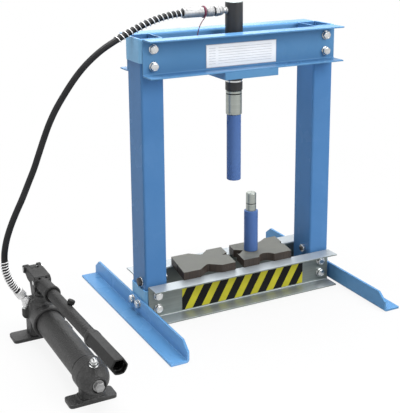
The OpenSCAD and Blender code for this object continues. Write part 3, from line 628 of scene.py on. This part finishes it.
def thread(radius, pitch, low, turns):
    """A screw thread's ridge round +Z: a three-sided section swept by a screw."""
    section = pitch * 0.52 * MM
    bpy.ops.mesh.primitive_circle_add(vertices=3, radius=section)
    ridge = bpy.context.object
    ridge.matrix_world = (
        Matrix.Translation((radius * MM - section, 0, low * MM))
        @ Matrix.Rotation(math.pi / 2, 4, "X") @ Matrix.Rotation(-math.pi / 2, 4, "Z")
    )
    bpy.ops.object.transform_apply(location=True, rotation=True, scale=True)
    shape_with(ridge, "SCREW", angle=math.tau, screw_offset=pitch * MM, iterations=turns,
               steps=THREAD_STEPS, render_steps=THREAD_STEPS, use_normal_calculate=True,
               use_merge_vertices=True)
    pick(ridge)
    bpy.ops.object.mode_set(mode="EDIT")
    bpy.ops.mesh.select_mode(type="EDGE")
    bpy.ops.mesh.select_all(action="DESELECT")
    bpy.ops.mesh.select_non_manifold()
    bpy.ops.mesh.fill()
    bpy.ops.mesh.select_all(action="SELECT")
    bpy.ops.mesh.normals_make_consistent(inside=False)
    close_mesh()
    return ridge


def knurl(piece, sides, low, high, rim, height):
    """Insets every other face round a band by rim, and raises or sinks it by height: straight knurling."""
    open_mesh(piece, "DESELECT")
    select_faces(piece, lambda at, normal: low * MM < at.z < high * MM and abs(normal.z) < 0.3
                 and round(math.atan2(at.y, at.x) / math.tau * sides - 0.5) % 2 == 0)
    bpy.ops.mesh.inset(thickness=rim * MM, use_individual=True)
    bpy.ops.transform.shrink_fatten(value=height * MM)
    close_mesh()


RING_KNURLS, SCREW_KNURLS = 72, 36           # faces round the coupler's ring and the clamp screw


def merged_copy(node, flats=0):
    """A copy of a solid, merged; its faces whose normal rises less than flats are made whole."""
    piece = bpy.data.objects.new(node + "_worked", NODES[node].data.copy())
    bpy.context.scene.collection.objects.link(piece)
    open_mesh(piece)
    bpy.ops.mesh.remove_doubles(threshold=SOLID_WELD)
    if flats:
        select_faces(piece, lambda at, normal: abs(normal.z) < flats)
        bpy.ops.mesh.dissolve_limited(angle_limit=COPLANAR)
    close_mesh()
    return piece


def dress(piece, node, material=None, name=None):
    """The piece stands for a solid: it rides with it and takes the finish given, or else its slot's."""
    if name:
        piece.name = piece.data.name = name
    coat(piece, material or FINISHES[SLOT_OF[node]])
    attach(piece, BODY_OF[node])
    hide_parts(node)
    return piece


# ----------------------------------------
# Frame
# ----------------------------------------

UPRIGHT_FLATS, ALL_FLATS = 0.99, 1.1         # rise of the normals, for merged_copy


def ease(node, name, width, steps=2, flats=0, material=None):
    """The solid with its sharp edges broken."""
    return dress(soften(merged_copy(node, flats), width, steps), node, material, name)


for side in ("left", "right"):
    ease("upright_" + side, "tube_post_" + side, 0.5, flats=UPRIGHT_FLATS)
    ease("saddle_top_" + side, "upper_strap_" + side, 0.5, flats=UPRIGHT_FLATS, material=STRAP_BLUE)
    ease("saddle_bottom_" + side, "lower_strap_" + side, 0.5, flats=UPRIGHT_FLATS, material=STRAP_BLUE)
    ease("foot_" + side, "angle_foot_" + side, 0.6, flats=ALL_FLATS,
         material=FOOT_BLUE if side == "left" else BEAM_BLUE)
    ease("bearing_block_" + side, "slotted_block_" + side, 0.7)
for end in ("front", "rear"):
    ease("upper_beam_" + end, "upper_channel_" + end, 0.5, flats=UPRIGHT_FLATS, material=BEAM_BLUE)
    ease("lower_beam_" + end, "lower_channel_" + end, 0.5, flats=UPRIGHT_FLATS)
ease("cylinder_plate", "ram_plate", 0.6, material=BEAM_BLUE)
ease("cylinder_tube", "ram_barrel", 0.4)
ease("cylinder_cap", "barrel_lid", 0.4)
ease("cylinder_gland", "screwed_gland", 0.3)
ease("lock_ring", "barrel_lock_ring", 0.4)
ease("data_plate", "ruled_plate", 0.2, 1)
ease("pump_foot_rear", "rear_foot_plate", 1.2, 3)


# ----------------------------------------
# Fasteners
# ----------------------------------------

BOLT_R, CORE_R, PITCH = 5.0, 4.35, 1.5       # M10
HEAD_ACROSS, HEAD_H, NUT_H = 16, 6.4, 8
THREAD_LEN, THREAD_TURNS = 12, 6


def make_bolt(length):
    """An M10 bolt with its head's seat at z = 0: chamfered head, shank, and a thread at its end."""
    head = hex_blank(HEAD_ACROSS, 0, HEAD_H)
    dome = turn_up([(6.4, 6.3), (6.4, 6.45), (5.6, 6.6), (1.2, 6.68)], sides=24)
    shank = turn_up([(BOLT_R, 0), (BOLT_R, THREAD_LEN - length), (CORE_R, THREAD_LEN - 0.6 - length),
                     (CORE_R, 0.8 - length), (3.8, -length)], sides=28)
    ridge = thread(BOLT_R, PITCH, 1.2 - length, THREAD_TURNS)
    bolt = join([head, dome, shank, ridge])
    open_mesh(bolt)
    bpy.ops.mesh.normals_make_consistent(inside=False)
    close_mesh()
    return soften(bolt, 0.25, steps=1, edge=50)


def make_nut():
    """A hex nut on z = 0, chamfered at both ends, with a countersunk bore."""
    nut = hex_blank(HEAD_ACROSS, 0, NUT_H, both=True)
    open_mesh(nut, "DESELECT")
    select_faces(nut, lambda at, normal: normal.z > 0.9 and at.z > (NUT_H - 0.1) * MM)
    bpy.ops.mesh.inset(thickness=1.5 * MM)
    bpy.ops.mesh.extrude_region_move(TRANSFORM_OT_translate={"value": (0, 0, -0.9 * MM)})
    bpy.ops.transform.resize(value=(0.86, 0.86, 1), center_override=(0, 0, 0))
    close_mesh()
    return soften(nut, 0.25, steps=1, edge=50)


def make_washer():
    """A plain washer on z = 0, one edge rounded by the punch."""
    washer = turn_up([(5.1, 0), (10, 0), (10, 1.5), (9.5, 2), (5.4, 2), (5.1, 1.6), (5.1, 0)],
                     sides=40, ring=True)
    return soften(washer, 0.15, steps=1, edge=40)


def place_fasteners(node, name, pattern, spots):
    """A copy of the pattern at every spot: a foot, an axis and a turn in degrees."""
    for number, (foot, axis, turn) in enumerate(spots, 1):
        dress(stand(copy_of(pattern), f"{name}_{number}", foot, axis, turn), node)
    bpy.data.objects.remove(pattern)


SIDES = (-1, 1)
THROUGH = [(side, z) for side in SIDES for z in (23, 52, 544, 579)]       # bolts through the beams
FEET = [(side, y) for side in SIDES for y in (-15, 15)]                   # bolts through the feet
POST_X, WEB_FACE = 207, 41                   # middle of an upright; outer face of a beam's web
POST_OUT, POST_IN, POST_WALL_IN = 232, 182, 229       # an upright's faces, and inside its outer wall
FOOT_OUT, FOOT_BOLT_Z = 240, 29              # outer face of a foot's leg
CROSS_Y, CROSS_Z = -12, 78                   # cross bolts through the uprights
WASHER_T = 2


def out_from(side):
    return Vector((side, 0, 0))


def on_beam(side, y, z):
    return at_press(POST_X * side, y, z)


def on_foot(side, x, y):
    return at_press(x * side, y, FOOT_BOLT_Z)


def on_post(side, x):
    return at_press(x * side, CROSS_Y, CROSS_Z)


# each head and nut is left as its spanner left it, turned a little further than the last
place_fasteners("through_bolts", "through_bolt", make_bolt(length=97), [
    (on_beam(side, -WEB_FACE - WASHER_T, z), FRONT, 13 + 37 * k) for k, (side, z) in enumerate(THROUGH)])
place_fasteners("foot_bolts", "foot_bolt", make_bolt(length=23), [
    (on_foot(side, FOOT_OUT + WASHER_T, y), out_from(side), 8 + 23 * k)
    for k, (side, y) in enumerate(FEET)])
place_fasteners("cross_bolts", "cross_bolt", make_bolt(length=63), [
    (on_post(side, POST_OUT + WASHER_T), out_from(side), 20) for side in SIDES])
place_fasteners("hex_nuts", "nut", make_nut(), (
    [(on_beam(side, WEB_FACE + WASHER_T, z), REAR, 31 * k) for k, (side, z) in enumerate(THROUGH)]
    + [(on_foot(side, POST_WALL_IN, y), out_from(-side), 17 * k) for k, (side, y) in enumerate(FEET)]
    + [(on_post(side, POST_IN), out_from(-side), 5) for side in SIDES]))
place_fasteners("washers", "washer", make_washer(), (
    [(on_beam(side, -WEB_FACE, z), FRONT, 0) for side, z in THROUGH]
    + [(on_beam(side, WEB_FACE, z), REAR, 0) for side, z in THROUGH]
    + [(on_foot(side, FOOT_OUT, y), out_from(side), 0) for side, y in FEET]
    + [(on_post(side, POST_OUT), out_from(side), 0) for side in SIDES]))


# ----------------------------------------
# Ram and punches
# ----------------------------------------

SHANK_H = 42                                 # height of a punch's shank over its body
SHANK_R, SHANK_TIP_R, RING_SEAT_R = 11.6, 9.2, 10.2
SOCKET_R = 12.1                              # socket in the ram head for a shank
JUST_OVER = 0.00001                          # cuts a punch just over its shoulder, not in it


def make_ram_head():
    """Chromed head, turned, with a groove under its shoulder and a rounded lower rim."""
    low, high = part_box("ram_head")
    tall = (high.z - low.z) / MM
    wide = (high.x - low.x) / 2 / MM
    piece = turn_up([
        (SOCKET_R, 6), (SOCKET_R, 0), (wide - 2.6, 0), (wide - 1.2, 0.5), (wide - 0.4, 1.3), (wide, 2.6),
        (wide, tall - 8.2), (wide - 0.5, tall - 8), (wide - 1.5, tall - 8), (wide - 1.5, tall - 5.8),
        (wide - 0.5, tall - 5.8), (wide, tall - 5.6), (wide, tall - 1.2), (wide - 1.1, tall), (9, tall),
    ], sides=72)
    stand(piece, "chromed_ram_head", at_press(0, 0, low.z / MM))
    dress(soften(piece, 0.15, steps=1, edge=40), "ram_head")


def make_punch(node, name, x, y):
    """Enamelled body with crimp dimples, and a chromed shank with a ring groove, as two pieces."""
    low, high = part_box(node)
    tall = (high.z - low.z) / MM - SHANK_H
    foot = at_press(x, y, low.z / MM)
    cut = low.z + tall * MM + JUST_OVER
    body = merged_copy(node)
    open_mesh(body)
    bpy.ops.mesh.bisect(plane_co=(0, 0, cut), plane_no=(0, 0, 1), use_fill=True, clear_outer=True)
    close_mesh()
    dress(soften(body, 0.4, steps=2, edge=30), node, PUNCH_BLUE, name + "_body")
    shank = turn_up([
        (SHANK_R, -0.2), (SHANK_R, 15.4), (11.2, 15.7), (RING_SEAT_R, 15.7), (RING_SEAT_R, 17.1),
        (11.2, 17.1), (SHANK_R, 17.4), (SHANK_R, 39.2), (11.2, 40.2), (9.6, 41.8), (SHANK_TIP_R, SHANK_H),
        (2.2, SHANK_H), (1.8, 40.6),
    ], sides=56)
    stand(shank, name + "_shank", foot + Vector((0, 0, tall * MM)))
    dress(soften(shank, 0.15, steps=1, edge=40), node, FINISHES["chrome"])


make_ram_head()
make_punch("punch_long", "long_punch", 0, 0)
make_punch("punch_short", "short_punch", 46, 2)


# ----------------------------------------
# Coupler and hose fittings
# ----------------------------------------

PORT_Z = middle("coupler_body").z / MM


def at_port(x):
    """A point of the port's axis, x mm from the ram's axis."""
    return at_press(x, 0, PORT_Z)


def make_nipple():
    """Nipple with its flare, from the spot face outwards."""
    piece = turn_up([(6, 0), (6, 2.8), (7.5, 3), (7.5, 5.6), (6.9, 6.4), (5.7, 6.6), (5.7, 12)], sides=40)
    stand(piece, "port_nipple_turned", at_port(-15), LEFT)
    dress(soften(piece, 0.2, steps=1, edge=40), "port_nipple", FITTING)


def make_coupler_body():
    """Grooved cone, hex and tube of the half that stays on the press."""
    cone = turn_up([
        (7.2, 0), (7.5, 0.4), (8.2, 1.6), (9.6, 5.4), (10.25, 7.2), (10.25, 9.4), (9.7, 9.6), (9.7, 10.4),
        (10.25, 10.6), (10.25, 11.5), (9, 11.6),
    ], sides=56)
    nut = hex_blank(19.5, 11.5, 20.5, both=True)
    tube = turn_up([(7.5, 20), (7.5, 41)], sides=40)
    piece = join([cone, nut, tube])
    stand(piece, "coupler_body_turned", at_port(-27), LEFT, 12)
    dress(soften(piece, 0.2, steps=1, edge=45), "coupler_body", FITTING)


def make_coupler_ring():
    """Knurled ring with three raised bands."""
    bands = (1.6, 6.4, 11.2)
    profile = [(7.6, 0), (9.4, 0), (10.2, 0.9)]
    for start in bands:
        profile += [(10.2, start), (10.65, start + 0.3), (10.65, start + 3.6), (10.2, start + 3.9)]
    profile += [(10.2, 16.4), (9.4, 17.5), (7.6, 17.5), (7.6, 0)]
    piece = turn_up(profile, RING_KNURLS, ring=True)
    for start in bands:
        knurl(piece, RING_KNURLS, start + 0.3, start + 3.6, rim=0.12, height=0.22)
    stand(piece, "knurled_coupler_ring", at_port(-50), LEFT)
    dress(soften(piece, 0.1, steps=1, edge=50), "coupler_ring", FITTING)


def make_top_ferrule():
    """Crimped ferrule on the hose's upper end."""
    profile = [(7.4, 0), (9, 0.2), (10.2, 1.8)]
    for crimp in range(4, 45, 8):
        profile += [(10.5, crimp), (10.1, crimp + 0.6), (10.1, crimp + 1.2), (10.6, crimp + 1.8)]
    profile += [(11, 50), (10.9, 51.4), (10.2, 53), (7.2, 53), (6.9, 51.5)]
    piece = turn_up(profile, sides=56)
    stand(piece, "crimped_ferrule_top", at_port(-68), LEFT)
    return dress(soften(piece, 0.12, steps=1, edge=50), "hose_ferrule_top", FITTING)


ELBOW = at_pump(-28, 12, 80)                 # middle of the elbow's ball
HOSE_LEAN = Vector((math.sin(math.radians(-34)), 0, math.cos(math.radians(-34))))
CAP_AXIS = Vector((-0.35, -1, 0.1))


def make_elbow():
    """Swivelling ball elbow with its neck, and the cap that closes its side."""
    ball = turn_up([(3, -9.2), (5.6, -7.6), (7.6, -5.2), (8.9, -2.4), (9.25, 0), (8.9, 2.4), (7.6, 5.2),
                    (7.2, 6), (7.2, 9)], sides=48)
    stand(ball, "ball", ELBOW, HOSE_LEAN)
    neck = turn_up([(7.5, -12), (7.5, -8), (6.9, -6), (6.9, -3)], sides=40)
    stand(neck, "neck", ELBOW)
    cap = turn_up([(7.9, 5), (7.9, 8.6), (7.4, 9.4), (6.6, 9.6), (6.3, 8.8), (5.9, 8.8), (5.6, 9.5),
                   (3.2, 9.7), (2.9, 8.4), (2.6, 8.3)], sides=40)
    stand(cap, "cap", ELBOW, CAP_AXIS)
    piece = soften(join([ball, neck, cap]), 0.15, steps=1, edge=45)
    dress(piece, "hose_elbow", FITTING_PAINTED_LIGHT, "swivel_elbow")


def make_bottom_ferrule():
    """Crimped ferrule on the hose's lower end."""
    profile = [(7.2, 0), (8, 0.2), (9.6, 2), (10, 3.2)]
    for crimp in (4.6, 8.6, 12.6):
        profile += [(10, crimp), (9.6, crimp + 0.5), (9.6, crimp + 1.1), (10, crimp + 1.6)]
    profile += [(10, 17), (9.5, 18), (6.8, 18), (6.6, 17)]
    piece = turn_up(profile, sides=48)
    stand(piece, "crimped_ferrule_bottom", ELBOW + 9 * MM * HOSE_LEAN, HOSE_LEAN)
    return dress(soften(piece, 0.12, steps=1, edge=50), "hose_ferrule_bottom", FITTING_PAINTED_LIGHT)


make_nipple()
make_coupler_body()
make_coupler_ring()
top_ferrule = make_top_ferrule()
make_elbow()
bottom_ferrule = make_bottom_ferrule()
ease("hose_adapter", "elbow_seat_nut", 0.3)


# ----------------------------------------
# Hand pump
# ----------------------------------------

def round_over(piece, grain, passes):
    """Remeshes the piece at a grain in mm and smooths it, which rounds its edges and inner corners."""
    shape_with(piece, "REMESH", mode="VOXEL", voxel_size=grain * MM, use_smooth_shade=True)
    return shape_with(piece, "SMOOTH", factor=0.5, iterations=passes)


PLUNGER_Y = -12
ANCHOR_PIN, PLUNGER_PIN = (45, 132), (PLUNGER_Y, 123)       # the lever's pins: front to back, and height
LEVER_SIDE, PIN_LEN, PIN_R = -17, 34, 3.5                   # left face of the lever; its pins
FILLET_AT, FILLET_SIZE = at_pump(0, -27.5, 130), (26, 4.5, 7)


def cast(node, name, grain, passes):
    """The solid as a sand casting or a moulding."""
    dress(round_over(merged_copy(node), grain, passes), node, name=name)


FILLER, FILLER_LEAN = at_pump(0.5, -300, 76), math.radians(12)
DRAIN = at_pump(0, -321, 47)


def make_plugs():
    """Hex plugs of the tank: a breather on top and a drain plug in front."""
    lean = Vector((0, -math.sin(FILLER_LEAN), math.cos(FILLER_LEAN)))
    collar = turn_up([(8, -0.2), (8.6, 0), (8.6, 1), (7.6, 1.4), (6.8, 1.5)], sides=36)
    head = hex_blank(14, 1.2, 7)
    cap = turn_up([(5.2, 6.8), (5.2, 7.6), (6.1, 8), (6.1, 10.4), (5.7, 11.6), (4.4, 13), (2.2, 13.9),
                   (1, 14)], sides=36)
    breather = stand(join([collar, head, cap]), "tank_breather", FILLER, lean, 10)
    dress(soften(breather, 0.2, steps=1, edge=45), "tank_filler_plug")
    seat = turn_up([(10.6, -0.3), (10.6, 0), (10.6, 1.2), (10, 1.6), (8.4, 1.7)], sides=40)
    head = hex_blank(16, 1.5, 10)
    face = turn_up([(6.9, 9.9), (6.9, 10.05), (5.8, 10.3), (2, 10.4)], sides=32)
    drain = stand(join([seat, head, face]), "tank_drain_plug", DRAIN, FRONT, 24)
    dress(soften(drain, 0.25, steps=1, edge=45), "tank_front_plug", FITTING)


def make_cap_seam():
    """Black bead round the tank where the end cap meets it, a dark line along the seam."""
    low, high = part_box("tank_tube")
    wall = (high.x - low.x) / 2 / MM
    bead = turn_up([(wall - 0.6, 0), (wall + 0.3, 0), (wall + 0.6, 0.5), (wall + 0.6, 0.9),
                    (wall + 0.3, 1.4), (wall - 0.6, 1.4), (wall - 0.6, 0)], sides=72, ring=True)
    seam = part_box("tank_end_cap")[1].y / MM - PUMP.y / MM
    stand(bead, "cap_seam", at_pump(0, seam, (low.z + high.z) / 2 / MM), REAR)
    coat(bead, FINISHES["rubber"])
    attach(bead, "frame")


def make_plunger_gland():
    """Gland sleeve round the plunger, with a hex on top to screw it down."""
    sleeve = turn_up([(16.9, -0.5), (17, 0), (16.6, 2), (15.6, 8.5), (14.2, 9.6), (12.6, 9.8)], sides=56)
    nut = hex_blank(24, 9, 15, both=True)
    piece = stand(join([sleeve, nut]), "plunger_gland", at_pump(0, PLUNGER_Y, 86), turn=20)
    dress(soften(piece, 0.4, steps=2, edge=40), "pump_gland", FINISHES["pump_paint"])


HANDLE_TILT = math.radians(1.7)
SCREW_LEAN = math.radians(28)
SCREW_SUNK = 9.0                             # from the middle of the screw's solid to its collar's foot, mm


def handle_side(lean):
    """A direction square to the handle, leaning from straight up towards the press."""
    up = Vector((0, math.sin(HANDLE_TILT), math.cos(HANDLE_TILT)))
    return (math.cos(lean) * up + math.sin(lean) * Vector((1, 0, 0))).normalized()


def make_clamp_screw():
    """Knurled thumb screw that clamps the handle tube."""
    low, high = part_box("handle_screw")
    axis = handle_side(SCREW_LEAN)
    piece = turn_up([(2.5, -2), (2.5, 0.2), (4.6, 0.4), (4.6, 2.6), (5.8, 3.4), (6.9, 4.6), (7.2, 5.6),
                     (7.2, 10.2), (6.8, 11.4), (5.4, 12.6), (3, 13)], SCREW_KNURLS)
    knurl(piece, SCREW_KNURLS, 5.6, 10.2, rim=0.2, height=-0.35)
    stand(piece, "thumb_screw", (low + high) / 2 - axis * SCREW_SUNK * MM, axis)
    dress(soften(piece, 0.12, steps=1, edge=50), "handle_screw", FINISHES["grip_plastic"])


def make_lever():
    """Forged lever with a boss on its left ear and a fillet behind its socket, and its two peened pins."""
    boss = turn_up([(8.4, -4), (8.4, 2.4), (7.6, 3.6), (5.2, 3.8)], sides=40)
    stand(boss, "boss", at_pump(LEVER_SIDE, *ANCHOR_PIN), LEFT)
    bpy.ops.mesh.primitive_cube_add(size=MM, location=FILLET_AT)
    fillet = bpy.context.object
    bpy.ops.transform.resize(value=FILLET_SIZE)
    bpy.ops.object.transform_apply(location=True, rotation=True, scale=True)
    lever = round_over(join([merged_copy("pump_lever"), fillet, boss]), grain=0.8, passes=6)
    dress(lever, "pump_lever", FORGED, "forged_lever")
    pins = []
    for (y, z), end in ((ANCHOR_PIN, 3.6), (PLUNGER_PIN, 0.4)):
        pin = turn_up([(PIN_R, -PIN_LEN - end), (PIN_R, end), (4.6, end + 0.1), (4.4, end + 0.8),
                       (2.2, end + 1.4)], sides=32)
        pins.append(stand(pin, "pin", at_pump(LEVER_SIDE, y, z), LEFT))
    dress(soften(join(pins), 0.2, steps=1, edge=40), "lever_pins", name="lever_pins_peened")


cast("pump_head", "cast_pump_head", grain=1.1, passes=8)
cast("tank_end_cap", "cast_end_cap", grain=1.0, passes=8)
make_lever()
cast("handle_grip", "moulded_handle_grip", grain=0.8, passes=4)
make_plunger_gland()
# painted shade: the plunger takes its slot's black finish, though the real plunger is bright steel under
# the lever
ease("pump_plunger", "plunger_with_eye", 0.5)
ease("tank_tube", "oil_tank", 0.4)
ease("handle_tube", "handle_bar", 0.4, material=FORGED)
make_plugs()
make_cap_seam()
make_clamp_screw()


# ----------------------------------------
# Hose line
# ----------------------------------------

ROUTE = [at_press(x, y, z) for x, y, z in (
    (-118, 0, 641.5), (-149, 0, 639), (-180, 0, 632.5), (-210, 0, 622.5), (-239, 0, 610.5),
    (-267, 0, 597), (-295, 0, 582), (-320, 1, 564), (-343, 2, 543), (-364, 2, 519), (-382, 3, 494),
    (-399, 4, 468), (-414, 4, 440), (-426, 5, 411), (-437, 6, 382), (-448, 7, 353), (-461, 8, 324),
    (-474, 8, 296), (-488, 9, 268), (-501, 10, 239), (-511, 11, 209), (-516, 12, 178),
    (-514, 12, 147), (-504, 12, 119), (-489, 12, 97),
)]
ROUTE_END = len(ROUTE) - 1
HOSE_STEPS = 144
HOSE_R = 0.0065                              # this and the wires' and the thread's radii are in metres
GUARD_WIRE_R = 0.001
GUARD_R = HOSE_R + GUARD_WIRE_R + 0.0003     # radius of a guard's turns, a little clear of the hose
GUARD_STEPS = 20                             # points in a turn


def route_point(i):
    """A point of the route, which runs straight on past both ends."""
    if i < 0:
        return 2 * ROUTE[0] - ROUTE[1]
    if i > ROUTE_END:
        return 2 * ROUTE[ROUTE_END] - ROUTE[ROUTE_END - 1]
    return ROUTE[i]


def on_route(u):
    """A point of the hose's centre line; u counts the route's steps."""
    i = min(max(math.floor(u), 0), ROUTE_END - 1)
    t = u - i
    p, q, r, s = (route_point(i + k) for k in (-1, 0, 1, 2))
    return 0.5 * (2 * q + (r - p) * t + (2 * p - 5 * q + 4 * r - s) * t ** 2
                  + (3 * q - p - 3 * r + s) * t ** 3)


def beside_route(u, angle, reach):
    """A point at reach from the centre line, at an angle round it."""
    along = (on_route(u + 0.02) - on_route(u - 0.02)).normalized()
    side = along.cross(Vector((0, 1, 0))).normalized()
    return on_route(u) + reach * (math.cos(angle) * side.cross(along) + math.sin(angle) * side)


def line_curve(name, points, radius, sides=6):
    """A round wire or hose along the points."""
    data = bpy.data.curves.new(name, "CURVE")
    data.dimensions = "3D"
    data.bevel_depth = radius
    data.bevel_resolution = sides
    data.use_fill_caps = True
    spline = data.splines.new("POLY")
    spline.points.add(len(points) - 1)
    for point, place in zip(spline.points, points):
        point.co = (*place, 1)
    piece = bpy.data.objects.new(name, data)
    bpy.context.scene.collection.objects.link(piece)
    return piece


def make_guard(name, node, start, end, turns):
    """A spring of round wire wound on the hose, between two places of its route."""
    steps = turns * GUARD_STEPS
    points = [beside_route(start + (end - start) * k / steps, math.tau * k / GUARD_STEPS, GUARD_R)
              for k in range(steps + 1)]
    return dress(line_curve(name, points, GUARD_WIRE_R, 3), node, FITTING_PAINTED_LIGHT)


hose_path = [on_route(ROUTE_END * k / HOSE_STEPS) for k in range(HOSE_STEPS + 1)]
hose = dress(line_curve("flexible_hose", hose_path, HOSE_R, 7), "hose")
top_guard = make_guard("top_spring_guard", "hose_guard_top", 0.14, 5.1, 15)
bottom_guard = make_guard("bottom_spring_guard", "hose_guard_bottom", 21.2, 23.6, 13)


THREAD_R, KNOT_R = 0.0009, 0.0014            # the tail is one strand and the loops are two
LOOP_R = 0.0114                              # round the ferrule's collar
LOOPS, LOOP_STEPS = 3, 16
LOOP_START, LOOP_WIDTH = -71.6, 2.8          # along the port's axis, mm


def make_string():
    """Red thread tied round the coupler, with one end left hanging."""
    turns = []
    for k in range(LOOPS * LOOP_STEPS + 1):
        angle = math.tau * k / LOOP_STEPS
        along = at_port(LOOP_START - LOOP_WIDTH * k / (LOOPS * LOOP_STEPS))
        turns.append(along + LOOP_R * Vector((0, math.cos(angle), math.sin(angle))))
    loops = line_curve("thread_loops", turns, KNOT_R, 3)
    tail = [at_press(x, y, z) for x, y, z in (
        (-73, -9.6, 634.5), (-74.5, -10, 631), (-78, -10.4, 627), (-83, -11, 621.5), (-87, -11.4, 615),
        (-90, -11.8, 608), (-92, -12, 601), (-93.5, -12, 594), (-95, -12, 587), (-96, -12, 581),
        (-98, -12, 576))]
    string = line_curve("thread_tail", tail, THREAD_R, 3)
    for piece in (loops, string):
        coat(piece, THREAD_RED)
        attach(piece, "frame")


make_string()


# ----------------------------------------
# Floor and light
# ----------------------------------------

WHITE = (1, 1, 1, 1)
FLOOR_DROP = 0.0002                          # keeps the floor just clear of the feet
SHADOW_SHOWS = 0.12                          # share of the floor's own shade under the press
WORLD_LIGHT = 0.17


def looked_at(tree):
    """1 for rays that look at a surface, directly, in a reflection or through it."""
    path = add_node(tree, "LightPath").outputs
    return sum_up(tree, "MAXIMUM", path["Is Camera Ray"],
                  sum_up(tree, "MAXIMUM", path["Is Glossy Ray"], path["Is Transmission Ray"]))


def make_floor():
    """Pale floor that shows white, and keeps some of its shadow round the press."""
    bpy.ops.mesh.primitive_plane_add(size=60, location=(0, 0, -FLOOR_DROP))
    floor = bpy.context.object
    floor.name = "studio_floor"
    material, tree, shader = start_finish("floor", Base_Color=(0.52, 0.52, 0.52, 1), Roughness=0.9)
    glow = add_node(tree, "Emission", {"Color": WHITE, "Strength": 1.0})
    place = add_node(tree, "TexCoord").outputs["Object"]
    away = add_node(tree, "VectorMath", {0: place}, operation="LENGTH").outputs["Value"]
    white = sum_up(tree, "MULTIPLY", looked_at(tree), spread(tree, away, 0.5, 1.6, 1 - SHADOW_SHOWS, 1.0))
    mix = add_node(tree, "MixShader", {0: white, 1: shader.outputs[0], 2: glow.outputs[0]})
    tree.links.new(mix.outputs[0], tree.nodes["Material Output"].inputs[0])
    coat(floor, material)


def make_world():
    """Even pale light all round, white where it is looked at."""
    world = bpy.data.worlds.new("studio")
    bpy.context.scene.world = world
    world.use_nodes = True
    tree = world.node_tree
    sky = tree.nodes["Background"].inputs
    tree.links.new(spread(tree, looked_at(tree), 0.0, 1.0, WORLD_LIGHT, 1.0), sky["Strength"])
    sky["Color"].default_value = WHITE


def make_lamp(name, place, aim, size, power):
    """A square area lamp that looks at a point."""
    data = bpy.data.lights.new(name, "AREA")
    data.size = size
    data.energy = power
    lamp = bpy.data.objects.new(name, data)
    bpy.context.scene.collection.objects.link(lamp)
    lamp.location = place
    lamp.rotation_euler = (Vector(place) - Vector(aim)).to_track_quat("Z", "Y").to_euler()


make_floor()
make_world()
make_lamp("key", (1.9, -3.1, 2.4), aim=(0.1, 0, 0.3), size=2.6, power=135)
make_lamp("back", (0.8, 3.4, 2.4), aim=(0.0, 0, 0.3), size=3.0, power=40)
make_lamp("top", (0.0, 0.3, 3.0), aim=(0, 0, 0.2), size=2.4, power=150)
make_lamp("left", (-3.0, -0.9, 1.6), aim=(0, 0, 0.25), size=2.2, power=18)
bpy.context.scene.view_settings.view_transform = "Standard"
